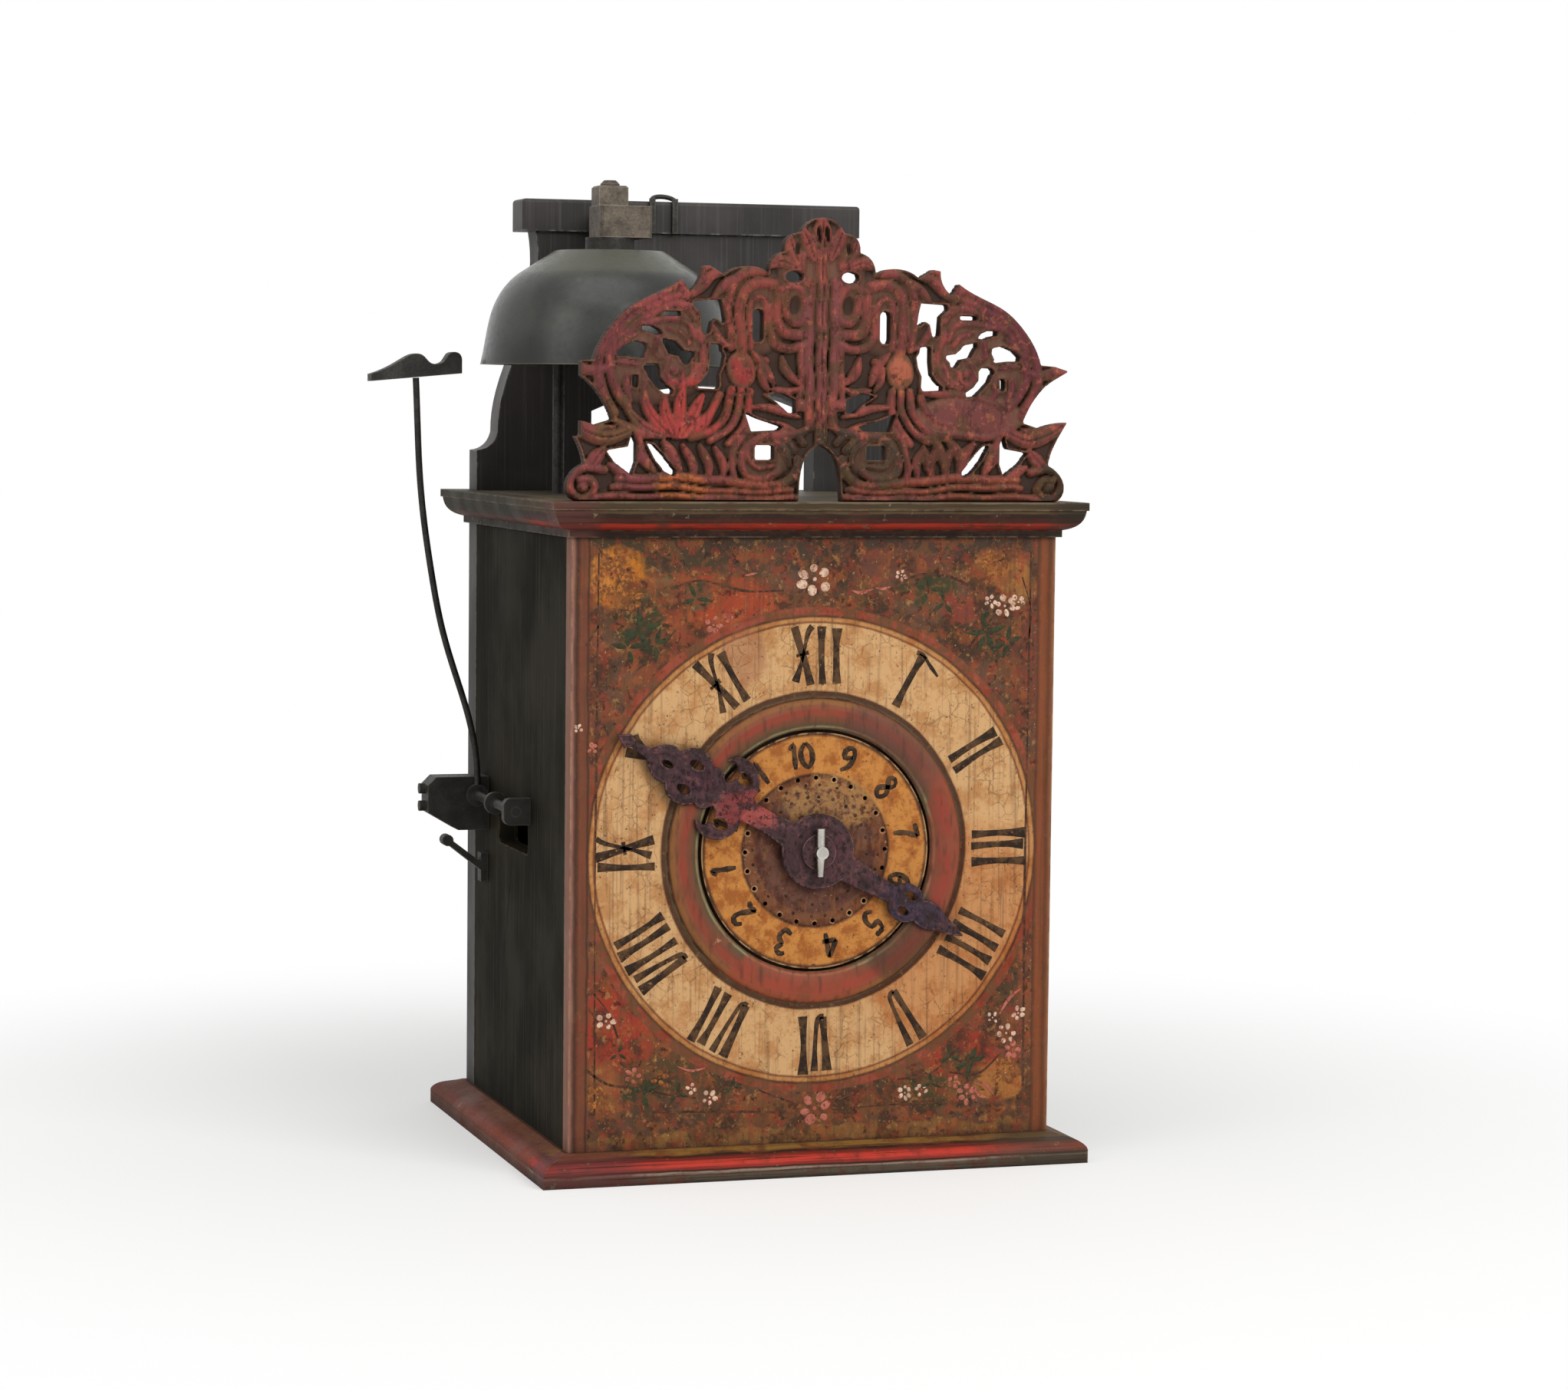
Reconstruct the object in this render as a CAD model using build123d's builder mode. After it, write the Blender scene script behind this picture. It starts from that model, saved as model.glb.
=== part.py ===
from build123d import *
import os
from math import acos, atan2, cos, degrees, pi, radians, sin, sqrt, tan

# A weight-driven chamber clock in a painted wooden case, with a carved crest, a bell on top,
# a striking hammer outside the case and an alarm hammer under the bell.
# Millimetres. The origin is the centre of the foot, on the floor. X is to the right of the dial,
# Y is to the back and Z is up.

os.makedirs("parts", exist_ok=True)

# Case
case_width = 200.0
case_depth = 176.0
case_height = 252.0  # floor to the underside of the cornice
dial_board_thickness = 8.0
side_thickness = 8.0
rear_thickness = 14.0
top_thickness = 8.0
foot_thickness = 10.0
plinth_height = 11.5
plinth_overhang = 13.0
plinth_fillet = 4.6
plinth_shelf = 1.5
cornice_height = 14.0
cornice_overhang = 10.3
cornice_fillet = 2.8
cornice_step = 2.0
fascia_height = 3.2

# Rear board above the cornice, cap bar and hanging loop
rear_rise = 110.0
shoulder_rise = 17.0
neck_inset = 25.0  # from the case side in to the neck of the rear board, on the left
neck_inset_right = 39.5
arch_half_width = 50.0
arch_straight = 34.0
arch_rise = 11.0
cap_bar_over = 6.0  # past the neck on the left
cap_bar_over_right = 9.0
cap_bar_height = 13.6
cap_bar_depth = 20.0
cap_bar_round = 1.6
loop_x = -19.5
loop_radius = 5.0
loop_wire = 1.0
loop_lean = 66.0  # back from upright, over the cap bar
loop_leg_width = 2.4
strap_thickness = 1.6

# Carved crest on the cornice
crest_thickness = 6.5
crest_setback = 7.3
broken_tip_x = -97.0
crest_slot = (26.2, 68.4, 13.0, 4.4)  # centre, height and width of the slot in the swan neck
crest_eye = (11.6, 87.7, 3.6, 2.2)

# Dial
dial_height = 128.0
dial_ring_outer = 61.0
dial_ring_inner = 48.2
dial_ring_proud = 2.8
recess_depth = 4.0
dial_bore = 11.0
alarm_disc_radius = 47.0
alarm_disc_thickness = 2.0
alarm_disc_proud = 0.6
pin_hole_count = 24
pin_hole_circle = 29.0
pin_hole_radius = 0.9

# Hour hand, its washer and its taper pin
hand_angle = 150.0  # from the right of the dial, anticlockwise
hand_thickness = 1.4
hand_hub_radius = 15.0
hand_tip = 95.5
hand_tail_end = 71.0
hand_gap = 0.6
hand_washer_radius = 7.0
hand_washer_thickness = 1.0
taper_pin_length = 19.0
taper_pin_radius = 1.7
stud_end = 4.4

# Movement frame
plate_half_width = 40.0
frame_side_gap = 30.0  # inside of a side board to the frame's plates
frame_front_gap = 14.0
frame_rear_gap = 12.0
frame_plate = 3.0
frame_base_height = 46.0
frame_top_gap = 26.0  # frame's top plate to the cornice's underside
post_size = 8.0
post_inset = 2.0
front_plate_offset = 5.0
going_space = 54.0
strike_space = 52.0
rail_width = 12.0
rail_inset = 12.0

# Wheelwork
pressure_angle = 25.0
addendum_share = 0.7
dedendum_share = 0.95
tooth_backlash = 0.12
pinion_teeth = 8
great_teeth = 56
great_module = 1.25
train_module = 1.0
motion_teeth = 96
motion_module = 0.7
count_teeth = 48
second_lean = 20.0  # of the second arbor, clockwise from straight above the great arbor
wheel_thickness = 4.0
thin_wheel = 3.0
arbor_radius = 4.0
slim_arbor_radius = 2.5
pivot_radius = 1.5
running_gap = 0.05
end_gap = 0.4
pulley_radius = 22.0
pulley_core = 17.0
pulley_width = 18.0
pulley_flange = 3.0
crown_radius = 20.0
crown_teeth = 29
crown_depth = 8.0
crown_tooth = 4.5
verge_radius = 1.5
pallet_length = 5.0
pallet_gap = 0.6
balance_radius = 29.0
balance_rim = 4.0
balance_thickness = 4.0
balance_lift = 5.0
cock_rise = 18.0
hour_pipe_radius = 6.0
hour_stud_radius = 2.5
strike_pin_count = 13
strike_pin_circle = 28.0
strike_pin_radius = 1.5
strike_pin_length = 4.0
fly_radius = 24.0
fly_width = 20.0
fly_thickness = 1.2
count_disc_radius = 24.0
count_disc_thickness = 2.0
count_lean = 30.0
detent_gap = 0.5

# Bell and its fixing
bell_from_staff = 19.5  # to the right of the alarm hammer's staff
bell_y = 18.0
bell_rim_height = 53.0  # above the cornice top
bell_rim_radius = 53.0
bell_wall = 2.8
bell_crown = 47.0  # above the rim
crown_flat_radius = 22.5
shoulder_radius = 37.0
shoulder_drop = 9.3
spindle_radius = 4.0
spindle_head_radius = 7.5
spindle_head = 5.0
spindle_top = 10.5  # above the arm
bell_washer_radius = 10.0
bell_arm_width = 22.0
bell_arm_height = 13.0
bell_arm_front = 9.5
bell_arm_neck = 8.0
bell_arm_shift = 4.8  # of the arm's head, to the right of the bell's axis
bell_arm_rise = 5.5  # above the bell's crown
nut_width = 12.4
nut_height = 8.2

# Striking hammer on the left side
hammer_axis_out = 6.0  # out from the side board
hammer_axis_height = 139.0
hammer_arbor_front = -24.0
hammer_arbor_rear = 61.0
hammer_arbor_radius = 2.0
hammer_rod_y = 45.5
hammer_rod_radius = 1.4
hammer_below_rim = 5.0
hammer_head_width = 7.0
hammer_tail_y = 12.2
hammer_tail_thickness = 2.4
side_slot_front = -20.0
side_slot_rear = 30.0
side_slot_drop = 18.0  # below the hammer's axis
side_slot_rise = 2.0
spring_drop = 31.0
tail_lift = 6.4  # of the tail's end above the striking great arbor
cock_thickness = 4.0
rear_cock_depth = 13.0

# Alarm work
alarm_inset = 15.0  # inside of the left side board to the alarm axis
alarm_y = 25.0
alarm_drop = 26.0  # below the frame's top plate
alarm_staff_radius = 2.4
alarm_crown_radius = 11.5
alarm_pulley_radius = 12.0
alarm_arm_length = 25.0
alarm_arm_angle = 235.0  # seen from above, from the right
alarm_bob_radius = 4.6
alarm_staff_gap = 1.2

# Places that follow from the sizes above
half_width = case_width / 2
front_y = -case_depth / 2
rear_y = case_depth / 2
dial_board_rear = front_y + dial_board_thickness
rear_board_front = rear_y - rear_thickness
inner_half_width = half_width - side_thickness
cornice_top = case_height + cornice_height
top_board_low = cornice_top - top_thickness
axis_y = (0, 1, 0)
neck_half_width = half_width - neck_inset
cap_bar_left = neck_half_width + cap_bar_over
neck_right = half_width - neck_inset_right
cap_bar_right = neck_right + cap_bar_over_right
frame_half_width = inner_half_width - frame_side_gap
frame_top_height = case_height - frame_top_gap
rail_spacing = 2 * (frame_half_width - rail_inset)
great_height = dial_height - motion_module * (motion_teeth + pinion_teeth) / 2
alarm_x = alarm_inset - inner_half_width
alarm_axis_height = frame_top_height - alarm_drop
bell_x = alarm_x + bell_from_staff
hammer_top = cornice_top + bell_rim_height - hammer_below_rim
side_slot_low = hammer_axis_height - side_slot_drop
side_slot_high = hammer_axis_height + side_slot_rise


# A sketch plane seen from the front: sketch x is X, sketch y is Z. Extruding comes forward.
def layer(y_rear):
    return Plane.XZ.offset(-y_rear)


# A sketch plane through an arbor's axis: sketch x is Y, sketch y is the radius.
def turning_plane(x, z):
    return Plane(origin=(x, 0, z), x_dir=(0, 1, 0), z_dir=(1, 0, 0))


# A sketch plane through an upright axis: sketch x is the radius, sketch y is Z.
def upright_plane(x, y):
    return Plane(origin=(x, y, 0), x_dir=(1, 0, 0), z_dir=(0, -1, 0))


def polar(radius, angle_deg, centre=(0, 0)):
    angle = radians(angle_deg)
    return (centre[0] + radius * cos(angle), centre[1] + radius * sin(angle))


# The outline of a spur gear with involute flanks, one tooth standing at first_deg.
def gear_points(teeth, module, first_deg):
    pitch = module * teeth / 2
    base = pitch * cos(radians(pressure_angle))
    tip = pitch + addendum_share * module
    root = pitch - dedendum_share * module
    at_pitch = tan(radians(pressure_angle)) - radians(pressure_angle)
    half_tooth = pi / 2 / teeth - tooth_backlash * module / 2 / pitch
    flank = []
    for step in range(5):
        radius = max(base, root) + (tip - max(base, root)) * step / 4
        roll = acos(min(1.0, base / radius))
        flank.append((radius, half_tooth + at_pitch - (tan(roll) - roll)))
    if root < base:
        flank.insert(0, (root, flank[0][1]))
    points = []
    for tooth in range(teeth):
        middle = radians(first_deg) + 2 * pi * tooth / teeth
        for radius, half in flank:
            points.append((radius * cos(middle - half), radius * sin(middle - half)))
        for radius, half in reversed(flank):
            points.append((radius * cos(middle + half), radius * sin(middle + half)))
    return points


# A wheel drawn in the open sketch: toothed rim, four crossings, hub and bore.
def draw_wheel(centre, teeth, module, first_deg, rim, hub_radius, bore_radius):
    inside = module * teeth / 2 - dedendum_share * module - rim
    with Locations(centre):
        Polygon(*gear_points(teeth, module, first_deg))
        Circle(inside, mode=Mode.SUBTRACT)
        Rectangle(2 * inside + rim, rim)
        Rectangle(rim, 2 * inside + rim)
        Circle(hub_radius)
        Circle(bore_radius, mode=Mode.SUBTRACT)


# Edges through lists of points: two points make a straight edge, more make a smooth curve.
def draw_runs(runs):
    for run in runs:
        if len(run) == 2:
            Line(*run)
        else:
            Spline(*run)


def moved(runs, dx, dy):
    return [[(x + dx, y + dy) for x, y in run] for run in runs]


# Wheel centres, in (X, Z), and the meshing directions
great_at = (0.0, great_height)
pinion_pitch = great_module * pinion_teeth / 2
second_distance = great_module * (great_teeth + pinion_teeth) / 2
second_direction = 90.0 - second_lean
second_at = polar(second_distance, second_direction, great_at)
third_distance = train_module * (great_teeth + pinion_teeth) / 2
third_at = (0.0, second_at[1] + sqrt(third_distance**2 - second_at[0] ** 2))
third_direction = degrees(atan2(third_at[1] - second_at[1], third_at[0] - second_at[0]))
dial_at = (0.0, dial_height)
count_distance = motion_module * (count_teeth + pinion_teeth) / 2
count_direction = 90.0 - count_lean
count_at = polar(count_distance, count_direction, great_at)
half_pinion_tooth = 180.0 / pinion_teeth

# Places along Y
frame_front = dial_board_rear + frame_front_gap
frame_rear = rear_board_front - frame_rear_gap
front_plate_front = frame_front + front_plate_offset
front_plate_rear = front_plate_front + frame_plate
middle_plate_front = front_plate_rear + going_space
middle_plate_rear = middle_plate_front + frame_plate
rear_plate_front = middle_plate_rear + strike_space
rear_plate_rear = rear_plate_front + frame_plate
middle_split = (middle_plate_front + middle_plate_rear) / 2
frame_base_top = frame_base_height + frame_plate

going_great_front = front_plate_rear + 6.0
going_pulley_front = going_great_front + wheel_thickness + 2.0
second_wheel_front = middle_plate_front - 16.0
crown_face = second_wheel_front - crown_depth - 3.0
verge_y = crown_face - crown_tooth - verge_radius - pallet_gap
strike_great_front = middle_plate_rear + 6.0
strike_pulley_front = strike_great_front + wheel_thickness + 6.0
locking_wheel_front = rear_plate_front - 12.0
motion_wheel_front = dial_board_rear + 7.0
motion_pinion_front = motion_wheel_front - 1.0
motion_pinion_rear = motion_wheel_front + thin_wheel + 1.0
count_wheel_front = rear_plate_rear + 3.0

rope_slot_length = 2 * pulley_radius + 8.0
rope_slot_width = 14.0
going_slot_y = going_pulley_front + pulley_width / 2
strike_slot_y = strike_pulley_front + pulley_width / 2
alarm_crown_front = alarm_y + alarm_staff_radius + alarm_staff_gap
alarm_crown_rear = alarm_crown_front + 8.0
alarm_front_ear = alarm_crown_rear + 3.0
alarm_pulley_front = alarm_front_ear + frame_plate + 1.0
alarm_pulley_width = 12.0
alarm_rear_ear = alarm_pulley_front + alarm_pulley_width + 1.0
alarm_slot_y = alarm_pulley_front + alarm_pulley_width / 2
alarm_slot_length = 2 * alarm_pulley_radius + 5.0


# The foot board carries the case and lets the ropes of the three weights down.
with BuildPart() as foot_board:
    with BuildSketch():
        Rectangle(case_width, case_depth)
        with Locations((0, going_slot_y), (0, strike_slot_y)):
            SlotOverall(rope_slot_length, rope_slot_width, mode=Mode.SUBTRACT)
        with Locations((alarm_x, alarm_slot_y)):
            SlotOverall(alarm_slot_length, rope_slot_width, mode=Mode.SUBTRACT)
    extrude(amount=foot_thickness)
foot_board.part.label = "foot_board"
export_step(foot_board.part, "parts/foot_board.step")


# One mitred side of a moulding, swept along a side of the case by an extrusion between mitres.
# The section is drawn with its back on the case at sketch x = 0 and grows outwards.
def moulding_side(section, half_length, half_depth, side):
    lengths = {"front": half_length, "rear": half_length, "left": half_depth, "right": half_depth}
    reach = {"front": half_depth, "rear": half_depth, "left": half_length, "right": half_length}
    turn = {"front": -90, "right": 0, "rear": 90, "left": 180}
    run = lengths[side] + 40.0
    outward = Vector(1, 0, 0).rotate(Axis.Z, turn[side])
    along = Vector(0, 1, 0).rotate(Axis.Z, turn[side])
    plane = Plane(origin=outward * reach[side] - along * run, x_dir=outward, z_dir=-along)
    solid = extrude(plane * section, amount=-2 * run)
    for end in (-1, 1):
        corner = outward * reach[side] + along * (end * lengths[side])
        mitre = Plane(origin=corner, z_dir=(along * end - outward))
        solid = split(solid, bisect_by=mitre, keep=Keep.BOTTOM)
    return solid


sides = ("front", "right", "rear", "left")

# Plinth moulding: an upright fillet and a flat round up to a narrow shelf.
with BuildSketch() as plinth_section:
    with BuildLine():
        Line((0, 0), (plinth_overhang, 0))
        Line((plinth_overhang, 0), (plinth_overhang, plinth_fillet))
        Spline(
            (plinth_overhang, plinth_fillet),
            (plinth_overhang - 1.4, plinth_fillet + 3.0),
            (plinth_shelf, plinth_height),
            tangents=[(0.15, 1), (-1, 0.45)],
        )
        Line((plinth_shelf, plinth_height), (0, plinth_height))
        Line((0, plinth_height), (0, 0))
    make_face()
plinth_sides = []
for side in sides:
    plinth_sides.append(moulding_side(plinth_section.sketch, half_width, rear_y, side))
plinth_moulding = Compound(children=plinth_sides)
plinth_moulding.label = "plinth_moulding"
export_step(plinth_moulding, "parts/plinth_moulding.step")

# Cornice moulding: a fillet, a swelling ovolo and a fascia.
with BuildSketch() as cornice_section:
    with BuildLine():
        Line((0, 0), (cornice_step, 0))
        Line((cornice_step, 0), (cornice_step, cornice_fillet))
        Spline(
            (cornice_step, cornice_fillet),
            (cornice_overhang - 2.2, cornice_fillet + 3.6),
            (cornice_overhang - 0.8, cornice_height - fascia_height),
            tangents=[(1, 0.2), (0.1, 1)],
        )
        Line((cornice_overhang - 0.8, cornice_height - fascia_height),
             (cornice_overhang, cornice_height - fascia_height))
        Line((cornice_overhang, cornice_height - fascia_height), (cornice_overhang, cornice_height))
        Line((cornice_overhang, cornice_height), (0, cornice_height))
        Line((0, cornice_height), (0, 0))
    make_face()
cornice_sides = []
for side in sides:
    solid = moulding_side(cornice_section.sketch, half_width, rear_y, side)
    cornice_sides.append(solid.moved(Location((0, 0, case_height))))
cornice_moulding = Compound(children=cornice_sides)
cornice_moulding.label = "cornice_moulding"
export_step(cornice_moulding, "parts/cornice_moulding.step")

# The dial board, with the sunk seat of the alarm disc and the hole for the hour pipe.
with BuildPart() as dial_board:
    with BuildSketch(layer(dial_board_rear)):
        with Locations((0, (foot_thickness + top_board_low) / 2)):
            Rectangle(case_width, top_board_low - foot_thickness)
        with Locations(dial_at):
            Circle(dial_bore, mode=Mode.SUBTRACT)
    extrude(amount=dial_board_thickness)
    with BuildSketch(layer(front_y + recess_depth)):
        with Locations(dial_at):
            Circle(dial_ring_inner)
    extrude(amount=recess_depth, mode=Mode.SUBTRACT)
dial_board.part.label = "dial_board"
export_step(dial_board.part, "parts/dial_board.step")

# Side boards. The left one has the slot through which the hammer's tail reaches the wheel.
panel_depth = rear_board_front - dial_board_rear
panel_middle_y = (rear_board_front + dial_board_rear) / 2
panel_height = top_board_low - foot_thickness
with BuildPart() as left_side_panel:
    with BuildSketch(Plane.XY.offset(foot_thickness)):
        with Locations((-half_width + side_thickness / 2, panel_middle_y)):
            Rectangle(side_thickness, panel_depth)
    extrude(amount=panel_height)
    with BuildSketch(Plane.YZ.offset(-half_width)):
        with Locations(((side_slot_front + side_slot_rear) / 2, (side_slot_low + side_slot_high) / 2)):
            RectangleRounded(side_slot_rear - side_slot_front, side_slot_high - side_slot_low, 2.0)
    extrude(amount=side_thickness, mode=Mode.SUBTRACT)
left_side_panel.part.label = "left_side_panel"
export_step(left_side_panel.part, "parts/left_side_panel.step")

with BuildPart() as right_side_panel:
    with BuildSketch(Plane.XY.offset(foot_thickness)):
        with Locations((half_width - side_thickness / 2, panel_middle_y)):
            Rectangle(side_thickness, panel_depth)
    extrude(amount=panel_height)
right_side_panel.part.label = "right_side_panel"
export_step(right_side_panel.part, "parts/right_side_panel.step")

# The rear board rises behind the bell with ogee shoulders and an arched opening.
shoulder_top = cornice_top + shoulder_rise
rear_top = cornice_top + rear_rise


def shoulder_runs(neck):
    # a neck that is cut in further takes the ogee in with it
    cut = neck_half_width - neck
    return [
        [(half_width, shoulder_top), (half_width - 5.5, shoulder_top + 2.0),
         (half_width - 9.0, shoulder_top + 8.0)],
        [(half_width - 9.0, shoulder_top + 8.0), (half_width - 10.5 - 0.15 * cut, shoulder_top + 22.0),
         (half_width - 15.5 - 0.5 * cut, shoulder_top + 38.0), (neck + 4.0, shoulder_top + 52.0),
         (neck, shoulder_top + 68.0), (neck, rear_top)],
    ]


with BuildPart() as rear_board:
    with BuildSketch(layer(rear_y)):
        with BuildLine():
            Line((half_width, foot_thickness), (half_width, shoulder_top))
            draw_runs(shoulder_runs(neck_right))
            Line((neck_right, rear_top), (-neck_half_width, rear_top))
            draw_runs([[(-x, z) for x, z in run] for run in shoulder_runs(neck_half_width)])
            Line((-half_width, shoulder_top), (-half_width, foot_thickness))
            Line((-half_width, foot_thickness), (half_width, foot_thickness))
        make_face()
        with BuildLine():
            arch_spring = cornice_top + arch_straight
            Line((-arch_half_width, cornice_top), (-arch_half_width, arch_spring))
            ThreePointArc((-arch_half_width, arch_spring), (0, arch_spring + arch_rise),
                          (arch_half_width, arch_spring))
            Line((arch_half_width, arch_spring), (arch_half_width, cornice_top))
            Line((arch_half_width, cornice_top), (-arch_half_width, cornice_top))
        make_face(mode=Mode.SUBTRACT)
    extrude(amount=rear_thickness)
rear_board.part.label = "rear_board"
export_step(rear_board.part, "parts/rear_board.step")

# The top board closes the case, with a hole for the alarm hammer's staff.
with BuildPart() as top_board:
    with BuildSketch(Plane.XY.offset(top_board_low)):
        with Locations((0, (front_y + rear_board_front) / 2)):
            Rectangle(case_width, rear_board_front - front_y)
        with Locations((alarm_x, alarm_y)):
            Circle(alarm_staff_radius + running_gap, mode=Mode.SUBTRACT)
    extrude(amount=top_thickness)
top_board.part.label = "top_board"
export_step(top_board.part, "parts/top_board.step")

# The cap bar lies along the top of the rear board.
cap_bar_middle_y = (rear_board_front + rear_y) / 2 + 1.0
cap_bar_front = cap_bar_middle_y - cap_bar_depth / 2
cap_bar_top = rear_top + cap_bar_height
with BuildPart() as cap_bar:
    with BuildSketch(Plane.XY.offset(rear_top)):
        with Locations(((cap_bar_right - cap_bar_left) / 2, cap_bar_middle_y)):
            Rectangle(cap_bar_right + cap_bar_left, cap_bar_depth)
    extrude(amount=cap_bar_height)
    fillet(cap_bar.edges().filter_by(Axis.Z), cap_bar_round)
    fillet(cap_bar.faces().sort_by(Axis.Z)[-1].edges(), cap_bar_round)
cap_bar.part.label = "cap_bar"
export_step(cap_bar.part, "parts/cap_bar.step")

# Hanging loop: a wire bow that leans back over the cap bar, on two flat legs down its front.
leg_height = cap_bar_height + 1.2
with BuildPart() as hanging_loop:
    with BuildSketch(layer(cap_bar_front)):
        for x in (loop_x - loop_radius, loop_x + loop_radius):
            with Locations((x, rear_top + leg_height / 2)):
                Rectangle(loop_leg_width, leg_height)
    extrude(amount=strap_thickness)
    foot_z = cap_bar_top + 0.2
    foot_y = cap_bar_front - strap_thickness / 2
    with BuildLine() as bow:
        ThreePointArc((loop_x - loop_radius, foot_y, foot_z),
                      (loop_x, foot_y + loop_radius * sin(radians(loop_lean)),
                       foot_z + loop_radius * cos(radians(loop_lean))),
                      (loop_x + loop_radius, foot_y, foot_z))
    with BuildSketch(Plane(bow.line @ 0, z_dir=bow.line % 0)):
        Circle(loop_wire)
    sweep()
hanging_loop.part.label = "hanging_loop"
export_step(hanging_loop.part, "parts/hanging_loop.step")

# The carved and pierced crest. Points are (across, above the cornice), right half, hand drawn.
crest_edge = [
    [(0, 111), (5, 109.5), (9, 105)],
    [(9, 105), (14, 103), (15.5, 97.5)],
    [(15.5, 97.5), (20, 95), (22, 89)],
    [(22, 89), (26, 91), (31, 91.5), (36, 90.5), (40, 88)],
    [(40, 88), (46, 91.5)],
    [(46, 91.5), (49, 91)],
    [(49, 91), (50.5, 85), (54, 81.5)],
    [(54, 81.5), (57, 86)],
    [(57, 86), (67, 80.5), (77, 75.5), (84, 69), (89, 62), (92, 54.5)],
    [(92, 54.5), (98, 54)],
    [(98, 54), (104, 52.2)],
    [(104, 52.2), (98, 48.8)],
    [(98, 48.8), (92, 44), (87, 37), (84.5, 31.5)],
    [(84.5, 31.5), (91.5, 29.3)],
    [(91.5, 29.3), (97, 31), (103.5, 31.8)],
    [(103.5, 31.8), (100, 26), (97, 20), (95.6, 14.5)],
    [(95.6, 14.5), (100, 11.5), (102.5, 6.5), (101.5, 2), (98.5, 0)],
    [(98.5, 0), (9, 0)],
    [(9, 0), (8, 12), (5, 19), (0, 22)],
]
crest_holes = [
    [(41.1, 78.4), (52, 77.8), (52.6, 76), (49.5, 73.4), (49, 66.2), (47.7, 64.4), (45.8, 65.4), (44.8, 69.9),
     (43, 71.1), (40.6, 69.2), (39.4, 69.8), (40.1, 74.3)],
    [(40.8, 61), (45.5, 61.3), (45.5, 55.2), (46.1, 50), (48.3, 47.1), (50.8, 45.1), (50.1, 44), (42.2, 43.6),
     (41.4, 45.1), (41.7, 49.4), (40.1, 52.9), (39.4, 56.9), (40.6, 58.7)],
    [(51.6, 57.8), (56, 58.5), (57.8, 60.2), (59.4, 62), (64.5, 63), (65, 62), (63.5, 59.4), (62.4, 57.1),
     (58.2, 56.2), (57, 54.1), (55.5, 52.7), (53.7, 53.5), (53.3, 55.2), (51.9, 56.4)],
    [(71.2, 61), (75.6, 61.9), (80, 60.2), (83.1, 57.4), (82.7, 55.9), (79, 55.9), (73.5, 55.2), (71.8, 55.4),
     (72.1, 56.6), (70.9, 59)],
    [(66.8, 53.2), (71, 53), (72.6, 51.6), (71.3, 50.3), (70.4, 48), (67.4, 44.5), (64.2, 41.8), (60.5, 41.4),
     (60.2, 43.2), (63.4, 45.3), (65.6, 48.2), (65.6, 51.7)],
    [(64.8, 64.8), (66.3, 66.6), (69, 67.8), (73.2, 67.8), (73, 66), (70, 65.4), (68, 64.4)],
    [(57.3, 73.6), (64.4, 73.5), (64.4, 71.9), (57.6, 71.9)],
    [(74.5, 49), (76.8, 48.6), (76.8, 44.5), (74.8, 43.6)],
    [(63.5, 17.5), (67.7, 22), (70.9, 22.7), (67.7, 16.6), (63.5, 11.5), (59.7, 9.7), (58.7, 11.5)],
    [(76.7, 26.6), (78.3, 21.1), (87, 19.6), (83.7, 15.1), (76.7, 10), (74.8, 15.1), (74.8, 22.7)],
    [(22.9, 41.7), (15.9, 42.3), (10.4, 39.9), (10.4, 34.4), (13.6, 34.7), (18.1, 38.7)],
    [(31.2, 34.7), (25.4, 32.3), (15.9, 29.3), (17.4, 27.8), (28.6, 27.2)],
    [(19, 16.2), (27, 16.2), (27, 22), (19, 22)],
]
crest_front = front_y - cornice_overhang + crest_setback
with BuildPart() as crest:
    with BuildSketch(layer(crest_front + crest_thickness)):
        with BuildLine():
            draw_runs(moved(crest_edge, 0, cornice_top))
            Line((0, cornice_top + crest_edge[-1][-1][1]), (0, cornice_top + crest_edge[0][0][1]))
        make_face()
        for hole in crest_holes:
            Polygon(*[(x, cornice_top + z) for x, z in hole], mode=Mode.SUBTRACT)
        with Locations((crest_slot[0], cornice_top + crest_slot[1])):
            SlotOverall(crest_slot[2], crest_slot[3], rotation=90, mode=Mode.SUBTRACT)
        with Locations((crest_eye[0], cornice_top + crest_eye[1])):
            Ellipse(crest_eye[2], crest_eye[3], mode=Mode.SUBTRACT)
        mirror(about=Plane.YZ)
        with Locations((broken_tip_x - 10, cornice_top + 50)):
            Rectangle(20, 50, mode=Mode.SUBTRACT)
    extrude(amount=crest_thickness)
crest.part.label = "crest"
export_step(crest.part, "parts/crest.step")

# A turned ring round the alarm disc.
ring_middle = (dial_ring_outer + dial_ring_inner) / 2
with BuildPart() as dial_ring:
    with BuildSketch(turning_plane(*dial_at)):
        with BuildLine():
            Line((front_y, dial_ring_inner), (front_y, dial_ring_outer))
            Spline((front_y, dial_ring_outer), (front_y - 1.4, dial_ring_outer - 0.8),
                   (front_y - dial_ring_proud, ring_middle),
                   (front_y - 1.4, dial_ring_inner + 0.8), (front_y, dial_ring_inner))
        make_face()
    revolve(axis=Axis((dial_at[0], 0, dial_at[1]), axis_y))
dial_ring.part.label = "dial_ring"
export_step(dial_ring.part, "parts/dial_ring.step")

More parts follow.
